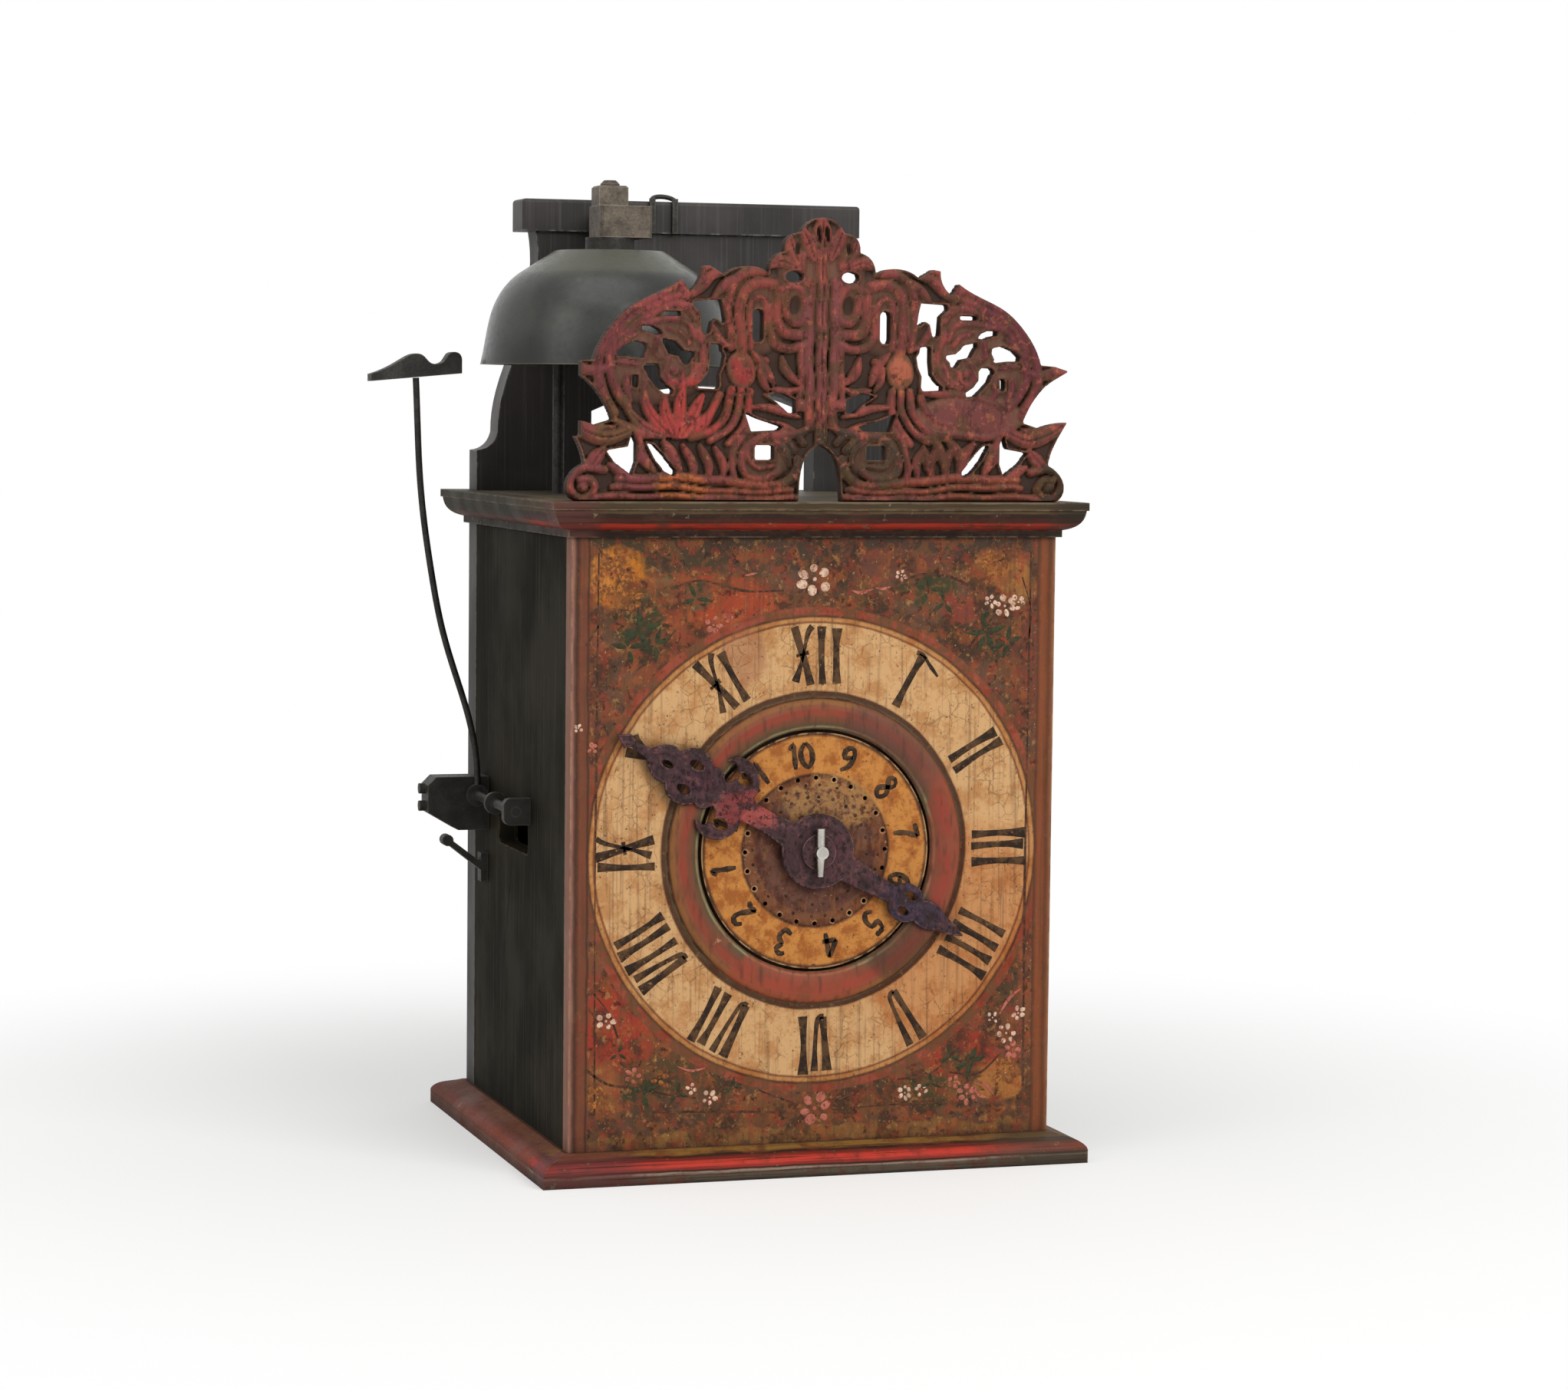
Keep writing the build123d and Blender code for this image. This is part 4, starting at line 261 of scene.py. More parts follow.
def agedPaint(name, look, pattern=None):
    # oil paint on wood, rubbed by age: brush streaks along the grain, chips, edges worn to the ground; hollows
    # darkened, partly dirt and partly painted shade
    material, _, place = startMaterial(name, Metallic=0.0, IOR=1.48, Specular_IOR_Level=look["gloss"])
    cloud = addNode("TexNoise", {"Vector": place, "Scale": 1 / (look["cloud"] * mm), "Detail": 4.0,
                                 "Roughness": 0.55})
    colour = stain(look["paint"], cloud, 0.35, 0.65, 1.0, look["second"])
    if pattern:
        colour = pattern(place, colour)
    streaks = grainAt(place, *look["streak"], look["grain"])
    colour = stain(colour, streaks, 0.5, 0.72, look["streakAmount"], look["streakColour"])
    chips = patchesAt(place, look["chip"], 6.0, 0.7, look["chipLevel"], look["chipLevel"] + 0.06)
    rubbed = patchesAt(place, 5.0, 5.0, 0.55, 0.42, 0.58, look["edgeAmount"])
    worn = addNode("Math", {0: chips, 1: edgeWear(place, look["edge"], rubbed)}, operation="MAXIMUM")
    colour = addNode("Mix", {0: worn, 6: colour, 7: look["under"]}, out=2, data_type="RGBA")
    # ambient occlusion darkens hollows and corners, as under the cornice: dirt there, and painted shade
    hollow = addNode("AmbientOcclusion", {"Distance": look["dirtAndShadeReach"] * mm}, out=1, tree=place.id_data, samples=6)
    colour = stain(colour, hollow, 0.95, 0.3, look["dirtAndShade"], look["dirtAndShadeColour"])
    sunk = addNode("Math", {0: worn, 1: -0.5}, operation="MULTIPLY")
    relief = addNode("Math", {0: streaks, 1: look["streakDepth"], 2: sunk}, operation="MULTIPLY_ADD")
    rough = addNode("MapRange", {"Value": cloud, "From Min": 0.3, "From Max": 0.7, "To Min": look["rough"][0],
                                 "To Max": look["rough"][1]}, interpolation_type="SMOOTHSTEP")
    return dress(material, colour, relief, 0.25, 0.6, rough)


# lengths are in mm: streaks across and along the grain, clouds, chips, worn edges, reach of the dirt and painted
# shade in hollows
caseLook = {"paint": "#231F16", "second": "#17150E", "streak": (1.3, 70.0), "grain": "Z", "streakAmount": 0.6,
            "streakColour": "#3C362A", "streakDepth": 0.8, "cloud": 45.0, "chip": 9.0, "chipLevel": 0.74,
            "under": "#5C4C3C", "edge": 1.4, "edgeAmount": 0.7, "dirtAndShade": 0.6, "dirtAndShadeColour": "#100F0B",
            "dirtAndShadeReach": 10.0, "rough": (0.65, 0.8), "gloss": 0.05}
boardLook = dict(caseLook, paint="#3C3836", second="#2C2928", streakColour="#57524F", streakAmount=0.35,
                 under="#7A7672", edgeAmount=0.85, gloss=0.22, rough=(0.42, 0.56))
topLook = dict(boardLook, paint="#5A5040", second="#463E30", streak=(1.3, 60.0), grain="X",
               streakColour="#6E6450", streakAmount=0.6)
mouldingLook = dict(caseLook, streak=(0.8, 42.0), grain="X", streakColour="#33211A", streakAmount=0.85,
                    under="#6E5C48", cloud=22.0, chip=5.0, chipLevel=0.62, edgeAmount=0.9, edge=1.0, dirtAndShade=0.8,
                    gloss=0.12, rough=(0.5, 0.68))
bareLook = dict(caseLook, paint="#8A6A48", second="#77583A", streakColour="#5E4429", under="#9A7A56",
                streakAmount=0.9, chipLevel=0.9, rough=(0.6, 0.75))
sideCrack = {"spot": (14.5, 92.0), "reach": (1.1, 23.0), "axes": "YZ", "tilt": -19.0}


def sideMarks(place, colour):
    # a long shrinkage crack, and green paint left at the front edge
    crack = locatedBlob(wobbled(place, 18.0, 3.0), **sideCrack)
    colour = addNode("Mix", {0: crack, 6: colour, 7: "#0C0B08"}, out=2, data_type="RGBA")
    return stain(colour, mmAlong(wobbled(place, 30.0, 14.0), "Y"), -76, -84, 0.8, "#2A2C1A")


def bandedByHeight(bands, ends, sides):
    # bands up the moulding, other colours towards the ends of its front and along its sides
    def pattern(place, colour):
        banded = bandsAlong(mmAlong(wobbled(place, 14.0, 1.4), "Z"), bands, 0.3)
        colour = stainPatches(place, banded, 9.0, 6.0, 0.7, 0.46, 0.66, 0.7, colour)
        loose = wobbled(place, 20.0, 16.0)
        front = addNode("MapRange", {"Value": mmAlong(place, "Y"), "From Min": -80, "From Max": -87,
                                     "To Max": 0.75}, interpolation_type="SMOOTHSTEP")
        for start, full, paint in ends:
            colour = stain(colour, mmAlong(loose, "X"), start, full, front, paint)
        for start, full, paint in sides:
            colour = stain(colour, mmAlong(loose, "Y"), start, full, 0.8, paint)
        return colour
    return pattern


plinthBands = [
    (0, "#3C342A"), (1.0, "#5E5244"), (3.6, "#9A8272"), (4.5, "#241610"), (5.2, "#862A20"), (6.4, "#B0362A"),
    (8.4, "#74281E"), (9.3, "#2C1C16"), (10.1, "#86602E"),
]
corniceBands = [
    (251, "#1E140F"), (253.6, "#3A1C16"), (254.8, "#84281E"), (256.0, "#9A3022"), (257.6, "#45201A"),
    (259.4, "#2E1E18"), (261.4, "#54442E"), (263.6, "#3E3424"), (265.5, "#6A5C46"),
]
redMouldingOil = agedPaint("redMouldingOilPaint", dict(mouldingLook, paint="#6E3022", second="#3E261C"),
                           bandedByHeight(plinthBands, [(55, 90, "#453C30"), (-64, -84, "#60302E")],
                                          [(-84, -70, "#703A26"), (0, 90, "#5A3224")]))
redCorniceOil = agedPaint("redCorniceOilPaint", dict(mouldingLook, paint="#4A2E22", second="#3A3022"),
                          bandedByHeight(corniceBands, [(84, 106, "#2A261E"), (-86, -100, "#54322E")],
                                         [(-70, -20, "#2A2A20")]))
# dull oil paint on pine boards, nearly black; the unpainted pine inside is planed, pale and matt
darkCaseOil = agedPaint("darkCaseOilPaint", caseLook, sideMarks)
darkBoardOil = agedPaint("darkBoardOilPaint", boardLook)
brownTopOil = agedPaint("brownTopOilPaint", topLook)
planedPine = agedPaint("planedPine", bareLook)

# bands are (radius or place across in mm, colour), fields and smears as in paintFields and paintSmears
dialPaint = {
    "rim": 96.6,
    "rings": [
        (0, "#4A4430"), (49.0, "#554E36"), (61.5, "#4E3222"), (63.4, "#C09768"), (90.0, "#6E4028"),
        (90.8, "#AE7A48"), (92.4, "#4A2C1E"), (93.4, "#8A4230"), (96.6, "#8A4230"),
    ],
    "borders": [
        # the pink at -100 is rubbed paint and a painted highlight on the left corner
        (-100, "#8A6052"), (-98.6, "#3A251C"), (-96.8, "#6A3C2A"), (-93.4, "#33221A"), (-92.4, "#6A4230"),
        (92.4, "#3A241A"), (93.4, "#7A4226"), (96.6, "#5E341E"), (98.8, "#80543A"),
    ],
    "fields": [
        # the second field, a dark band along the board's top under the cornice, is painted shade
        ((-72, 247), (34, 17), "#3E3222", 0.9), ((20, 250), (80, 11), "#3E3026", 0.9),
        ((-40, 226), (26, 11), "#963C22", 0.9), ((-60, 205), (13, 26), "#7A3E24", 0.8),
        ((-82, 236), (13, 12), "#B06A22", 0.95), ((-88, 239), (5, 8), "#B87838", 0.6),
        ((-72, 216), (10, 13), "#30351F", 0.95), ((-64, 231), (9, 5), "#85683E", 0.5),
        ((-49, 229), (6, 6), "#3E4630", 0.85), ((30, 241), (26, 7), "#63382A", 0.7),
        ((46, 231), (13, 7), "#343620", 0.9), ((60, 223), (9, 6), "#743428", 0.8),
        ((74, 239), (14, 8), "#9A5C30", 0.85), ((84, 233), (8, 9), "#90602E", 0.7),
        ((76, 214), (12, 10), "#23281C", 0.95), ((88, 200), (7, 26), "#653628", 0.8),
        ((-92, 190), (6, 34), "#6E3C2E", 0.9), ((-92, 96), (5, 40), "#7A4630", 0.7),
        ((-82, 56), (17, 22), "#8E3222", 0.95), ((-88, 36), (10, 10), "#85552E", 0.8),
        ((-58, 40), (24, 9), "#4C3A24", 0.9), ((-70, 34), (9, 6), "#2E3420", 0.8),
        ((0, 25), (40, 6), "#6A4226", 0.9), ((62, 46), (19, 10), "#8A3020", 0.9),
        ((62, 42), (8, 5), "#263A22", 0.9), ((52, 30), (15, 7), "#3C3820", 0.9),
        ((78, 33), (11, 8), "#9E6430", 0.85), ((84, 52), (9, 12), "#753E2E", 0.9),
        ((92, 90), (5, 50), "#74432C", 0.8), ((0, 15), (96, 3.4), "#8A6030", 0.7),
    ],
    "smears": [
        (12.0, 0.47, 0.6, 0.8, "#33241A"), (8.0, 0.5, 0.38, 0.6, "#8E4C28"), (6.5, 0.52, 0.6, 0.6, "#6A4428"),
        (5.5, 0.5, 0.63, 0.55, "#843424"), (4.0, 0.45, 0.34, 0.8, "#211810"), (3.0, 0.58, 0.67, 0.55, "#A07040"),
        (1.6, 0.63, 0.7, 0.7, "#BC966C"),
    ],
}


def dialPattern(place, colour):
    loose = wobbled(wobbled(place, 9.0, 10.0), 2.6, 3.4)
    colour = paintFields(loose, colour, dialPaint["fields"])
    colour = paintSmears(place, colour, dialPaint["smears"], 4.0, 0.6)
    radius = radiusOnDial(wobbled(place, 16.0, 1.4))
    ring = bandsAlong(radius, dialPaint["rings"], 0.3)
    ring = stainPatches(place, ring, 9.0, 7.0, 0.7, 0.44, 0.62, 0.6, "#D2AA80", "MULTIPLY")
    ring = paintFields(loose, ring, [((-30, 206), (9, 12), "#8A4E38", 0.5)])
    ring = paintFields(loose, ring, [((58, 92), (42, 48), "#E2A670", 0.5)], mode="MULTIPLY")
    ring = stainPatches(place, ring, 2.8, 6.0, 0.72, 0.56, 0.66, 0.5, "#86643C")
    ring = stainPatches(place, ring, 1.5, 4.0, 0.7, 0.62, 0.68, 0.85, "#44291A")
    ring = stain(ring, radius, 92.4, 93.2, patchesAt(place, 11.0, 5.0, 0.7, 0.44, 0.56, 0.8), "#5C4028")
    colour = stain(colour, radius, dialPaint["rim"] + 0.4, dialPaint["rim"] - 0.4, 1.0, ring)
    # fine cracks in the paint, one every 5 mm or so
    crackled = addNode("TexVoronoi", {"Vector": wobbled(place, 4.0, 2.5), "Scale": 1 / (5 * mm)},
                       feature="DISTANCE_TO_EDGE")
    shown = patchesAt(place, 12.0, 4.0, 0.55, 0.45, 0.6, 0.45)
    colour = stain(colour, crackled, 0.05, 0.012, shown, "#54341E")
    # plain side edges: the bare front corners of the board, pink on the left: rubbed paint with a painted highlight
    # on the corner
    across = mmAlong(wobbled(place, 12.0, 1.6), "X")
    borders = bandsAlong(across, dialPaint["borders"], 0.4)
    outward = addNode("Math", {0: across}, operation="ABSOLUTE")
    return stain(colour, outward, 92.0, 92.8, 0.85, borders)


dialOil = agedPaint("dialBoardPaint", dict(
    caseLook, paint="#5E4030", second="#483524", streak=(1.2, 40.0), streakColour="#4A3426", streakAmount=0.45,
    under="#A8835C", chip=4.0, chipLevel=0.7, edgeAmount=0.6, dirtAndShade=0.7, dirtAndShadeColour="#2A1C14", cloud=18.0,
    gloss=0.14, rough=(0.5, 0.68)), dialPattern)
ringPaint = {
    "rings": [
        # the pale band at 49 mm is a painted highlight on the ring's inner edge, all round
        (47.6, "#5A5238"), (49.0, "#8A7C5C"), (49.8, "#54442E"), (51.4, "#6A3E2C"), (53.6, "#823A2A"),
        (56.4, "#7C4630"), (58.2, "#80542F"), (60.2, "#43291A"),
    ],
    "fields": [((34, 170), (26, 22), "#5E3A32", 0.65), ((-12, 76), (34, 12), "#93402E", 0.65),
               ((54, 126), (9, 34), "#86382C", 0.65), ((36, 90), (18, 14), "#4C2C22", 0.65)],
}


def ringPattern(place, colour):
    rings = bandsAlong(radiusOnDial(wobbled(place, 10.0, 0.8)), ringPaint["rings"], 0.35)
    rings = paintFields(wobbled(place, 9.0, 12.0), rings, ringPaint["fields"])
    return stainPatches(place, rings, 9.0, 5.0, 0.55, 0.45, 0.65, 0.5, colour)


ringOil = agedPaint("redBrownRingPaint", dict(
    caseLook, paint="#7C4630", second="#5A3C26", streak=(2.0, 9.0), streakColour="#463024", streakAmount=0.6,
    under="#A07456", cloud=12.0, chipLevel=0.66, gloss=0.16, rough=(0.5, 0.65), dirtAndShadeReach=4.0), ringPattern)
discRings = [
    (0, "#4A342C"), (15, "#5C3C30"), (22, "#54352B"), (25, "#6A432C"), (29.6, "#3E281C"), (30.8, "#B4783A"),
    (45.6, "#46301E"),
]


def discPattern(place, colour):
    rings = bandsAlong(radiusOnDial(wobbled(place, 8.0, 0.9)), discRings, 0.5)
    rings = stainPatches(place, rings, 6.0, 6.0, 0.7, 0.44, 0.6, 0.65, "#B07850", "MULTIPLY")
    flecks = addNode("TexNoise", {"Vector": place, "Scale": 1 / (2.2 * mm), "Detail": 6.0, "Roughness": 0.72})
    bare = locatedBlob(wobbled(place, 8.0, 12.0), (6, 146), (20, 12), 0.75)
    rings = stain(rings, flecks, 0.4, 0.56, bare, "#A07848")
    rings = stain(rings, flecks, 0.58, 0.66, 0.6, "#7C3C30")
    rings = stainPatches(place, rings, 1.4, 5.0, 0.7, 0.64, 0.7, 0.6, "#C49A68")
    return stain(rings, flecks, 0.4, 0.33, 0.8, "#33211A")


discOil = agedPaint("alarmDiscPaint", dict(
    caseLook, paint="#A87038", second="#94602F", streak=(2.0, 6.0), streakColour="#8A5630", streakAmount=0.4,
    under="#D0A070", cloud=8.0, chipLevel=0.7, dirtAndShade=0.5, dirtAndShadeReach=5.0, gloss=0.14, rough=(0.5, 0.68)),
    discPattern)
handFields = [
    ((-30, 146), (14, 7), "#7C3432", 0.85), ((-24, 142), (8, 5), "#9A4840", 0.7),
    ((-50, 158), (9, 7), "#3A222C", 0.8), ((10, 126), (16, 10), "#4A3032", 0.8),
    ((40, 106), (16, 11), "#30293A", 0.7),
]


def handPattern(place, colour):
    # dark plum paint, with the red under it rubbed bare on the long arm
    colour = paintFields(wobbled(wobbled(place, 6.0, 8.0), 2.0, 3.0), colour, handFields)
    patches = addNode("TexNoise", {"Vector": wobbled(place, 5.0, 4.0), "Scale": 1 / (4.5 * mm), "Detail": 5.0,
                                   "Roughness": 0.65})
    colour = stain(colour, patches, 0.5, 0.6, 0.85, "#2C1A18")
    colour = stain(colour, patches, 0.42, 0.34, 0.6, "#6E443E")
    flecks = addNode("TexNoise", {"Vector": place, "Scale": 1 / (1.8 * mm), "Detail": 6.0, "Roughness": 0.7})
    colour = stain(colour, flecks, 0.52, 0.6, 0.85, "#170F10")
    return stain(colour, flecks, 0.37, 0.3, 0.7, "#84544E")


handOil = agedPaint("hourHandPaint", dict(
    caseLook, paint="#3A2529", second="#402C2E", streak=(1.5, 8.0), streakColour="#5A3438", under="#8A6A64",
    cloud=8.0, gloss=0.22, edge=0.8, dirtAndShadeReach=3.0), handPattern)
crestPaint = {
    # the ground colour is dark paint with painted shade in the hollows
    "ground": "#33231B", "shade": "#664A36",
    "fields": [
        ((-55, 36), (17, 13), "#9A3632", 0.85), ((-33, 47), (9, 14), "#87302C", 0.85),
        ((32.6, 51), (7, 9), "#9A543C", 0.95), ((-80, 12), (24, 9), "#6A3438", 0.7),
        ((-57, 6), (12, 5), "#A85A28", 0.8), ((-26, 5), (20, 5), "#7E3E2A", 0.8),
        ((55, 5), (44, 5), "#743A28", 0.8), ((0, 16), (20, 15), "#24281E", 0.9),
        ((26, 17), (9, 11), "#2A2E22", 0.85), ((-26, 72), (14, 18), "#78382E", 0.8),
        ((34, 74), (12, 16), "#5E2E2C", 0.7), ((78, 62), (20, 26), "#54262C", 0.8),
        ((-76, 62), (22, 26), "#5E2C32", 0.7), ((98, 8), (8, 9), "#262A1C", 0.9),
        ((64, 33), (20, 8), "#623230", 0.9), ((0, 66), (9, 30), "#6A3A3A", 0.7),
        ((-8, 92), (12, 9), "#7C4036", 0.7), ((-64, 78), (14, 8), "#823A38", 0.7),
        ((-84, 30), (9, 12), "#524024", 0.7), ((50, 20), (12, 8), "#4C2C1E", 0.8),
    ],
    "smears": [
        (9.0, 0.51, 0.58, 0.7, "#4C3A22"), (6.0, 0.46, 0.39, 0.75, "#3C1E1A"), (4.0, 0.55, 0.62, 0.5, "#A0523C"),
        (2.0, 0.6, 0.67, 0.4, "#A87458"),
    ],
}


def crestPattern(place, colour):
    # the raised work keeps its red, the ground and the flanks are dark: the ground's own dark paint with painted
    # shade in the hollows
    colour = paintFields(wobbled(wobbled(place, 8.0, 9.0), 2.6, 3.0), colour, crestPaint["fields"], corniceTop)
    colour = paintSmears(place, colour, crestPaint["smears"], 6.0, 0.68)
    uneven = addNode("TexNoise", {"Vector": place, "Scale": 1 / (4.0 * mm), "Detail": 5.0, "Roughness": 0.55})
    depth = addNode("Math", {0: uneven, 1: 0.8, 2: mmAlong(place, "Y")}, operation="MULTIPLY_ADD")
    # darker with depth: painted shade in the hollows over the ground's dark paint
    colour = stain(colour, depth, -90.1, -89.3, 0.7, crestPaint["shade"])
    return stain(colour, depth, -89.3, -87.9, 0.95, crestPaint["ground"])


crestOil = agedPaint("carvedCrestPaint", dict(
    caseLook, paint="#7E3C34", second="#623030", streak=(1.2, 9.0), streakColour="#4C241E", streakAmount=0.6,
    under="#9A6A50", cloud=9.0, chip=5.0, chipLevel=0.68, edge=0.7, edgeAmount=0.4, dirtAndShade=0.75,
    dirtAndShadeColour="#1A140E", dirtAndShadeReach=5.0, gloss=0.16, rough=(0.48, 0.66)), crestPattern)


def brushPaint(name, paint, beneath, wear, fade=0.5):
    # a thick stroke of oil colour, rubbed through in flecks to what lies beneath
    material, _, place = startMaterial(name, Metallic=0.0, IOR=1.48, Specular_IOR_Level=0.15, Roughness=0.65)
    flecks = addNode("TexNoise", {"Vector": place, "Scale": 1 / (1.5 * mm), "Detail": 6.0, "Roughness": 0.75})
    colour = stain(paint, flecks, wear, wear + 0.06, 1.0, beneath)
    colour = stainPatches(place, colour, 5.0, 5.0, 0.7, 0.42, 0.6, fade, beneath)
    return dress(material, colour, flecks, 0.15, 0.5)


numeralBlack = brushPaint("numeralLampBlack", "#261A12", "#8A6440", 0.6, 0.25)
petalWhite = brushPaint("petalLeadWhite", "#D2B29A", "#7E4E3C", 0.53)
petalOchre = brushPaint("petalOchre", "#A4682F", "#6A3E22", 0.46, 0.8)
leafGreen = brushPaint("leafGreen", "#363C26", "#2A2619", 0.52)
lineBrown = brushPaint("lineBrown", "#38231A", "#6A442E", 0.54)


def agedMetal(name, look, pattern=None):
    # bare metal under oxide: the shine breaks up into matt scale, with filed or forged marks
    material, _, place = startMaterial(name, Metallic=look["metallic"])
    cloud, fine = (addNode("TexNoise", {"Vector": place, "Scale": 1 / (look[size] * mm), "Detail": detail,
                                        "Roughness": rough})
                   for size, detail, rough in (("cloud", 6.0, 0.6), ("fine", 5.0, 0.65)))
    colour = stain(look["metal"], cloud, 0.35, 0.65, 1.0, look["oxide"])
    if pattern:
        colour = pattern(place, colour)
    colour = stain(colour, fine, 0.55, 0.75, look["speckle"], look["scale"])
    edge = edgeWear(place, 0.8, look["edgeAmount"])
    colour = addNode("Mix", {0: edge, 6: colour, 7: look["edge"]}, out=2, data_type="RGBA")
    heights = addNode("Math", {0: cloud, 1: look["hammered"], 2: fine}, operation="MULTIPLY_ADD")
    rough = addNode("MapRange", {"Value": fine, "From Min": 0.35, "From Max": 0.7, "To Min": look["rough"][0],
                                 "To Max": look["rough"][1]}, interpolation_type="SMOOTHSTEP")
    return dress(material, colour, heights, look["depth"], 0.5, rough)


ironLook = {"metallic": 0.6, "metal": "#34322E", "oxide": "#22211E", "scale": "#161513", "cloud": 9.0,
            "fine": 1.2, "speckle": 0.5, "edge": "#6A6458", "edgeAmount": 0.35, "rough": (0.45, 0.7),
            "hammered": 2.0, "depth": 0.12}
# forged iron: nearly black scale with a dull sheen; rubbed it turns brown and grey; filed wheels are greyer
wroughtIron = agedMetal("blackenedWroughtIron", ironLook)
rustyIron = agedMetal("rubbedWroughtIron", dict(
    ironLook, metal="#62584C", oxide="#443C34", scale="#2A2622", edge="#8C8274", edgeAmount=0.6))
wheelIron = agedMetal("filedWheelIron", dict(ironLook, metal="#6E6A62", oxide="#504A42", hammered=0.5))
# steel filed bright is light grey and shiny, filed brass is yellow with brown in the hollows
filedSteel = agedMetal("filedBrightSteel", dict(
    ironLook, metallic=1.0, metal="#C8C6C0", oxide="#A8A49C", scale="#7A766E", speckle=0.3, edge="#E8E6E0",
    rough=(0.22, 0.4), hammered=0.2, depth=0.04))
wheelBrass = agedMetal("filedWheelBrass", dict(
    ironLook, metallic=1.0, metal="#B08A44", oxide="#8C6C34", scale="#5E4A28", edge="#D4B068",
    rough=(0.32, 0.5), hammered=0.3, depth=0.05))


def bellPattern(place, colour):
    # greener on the cone, where dust lies, and darker towards the rim: painted shade on the flare
    height = mmAlong(wobbled(place, 12.0, 5.0), "Z")
    colour = stain(colour, height, 354, 359, 0.75, "#4C4B3C")
    # painted shade: darker down the flare to the rim
    return stain(colour, height, 337, 321, 0.7, "#1D1E1C")


bellMetal = agedMetal("patinatedBellBronze", dict(
    ironLook, metallic=0.4, metal="#3C3C38", oxide="#2C2D2A", scale="#1E1F1B", cloud=30.0, fine=2.5,
    speckle=0.3, edge="#86806A", rough=(0.24, 0.36), hammered=0.6, depth=0.05), bellPattern)
# every other piece is blackened wrought iron
finishes = [
    (darkBoardOil, "foot_board rear_board cap_bar"), (redMouldingOil, "plinth_moulding"),
    (redCorniceOil, "cornice_moulding"), (dialOil, "dial_board"), (brownTopOil, "top_board"),
    (darkCaseOil, "left_side_panel right_side_panel"), (crestOil, "crest"), (ringOil, "dial_ring"),
    (discOil, "alarm_disc"), (handOil, "hour_hand hand_washer"), (bellMetal, "bell"),
    (planedPine, "seat_rails going_rope_pulley strike_rope_pulley"), (filedSteel, "hour_stud taper_pin"),
    (wheelBrass, "second_wheel locking_wheel crown_wheel count_wheel"),
    # the bell's washer is not among these: it stays blackened, painted shade under the arm
    (rustyIron, "bell_nut bell_arm bell_spindle"),
    (wheelIron, "going_great_arbor going_great_wheel second_arbor locking_arbor escape_arbor verge hour_wheel"),
    (wheelIron, "strike_great_arbor strike_great_wheel fly_arbor fly count_stud detent_lever alarm_wheel"),
]
finishOf = {name: finish for finish, names in finishes for name in names.split()}
for name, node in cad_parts.items():
    node.data.materials.clear()
    node.data.materials.append(finishOf.get(name, wroughtIron))

print("crest")
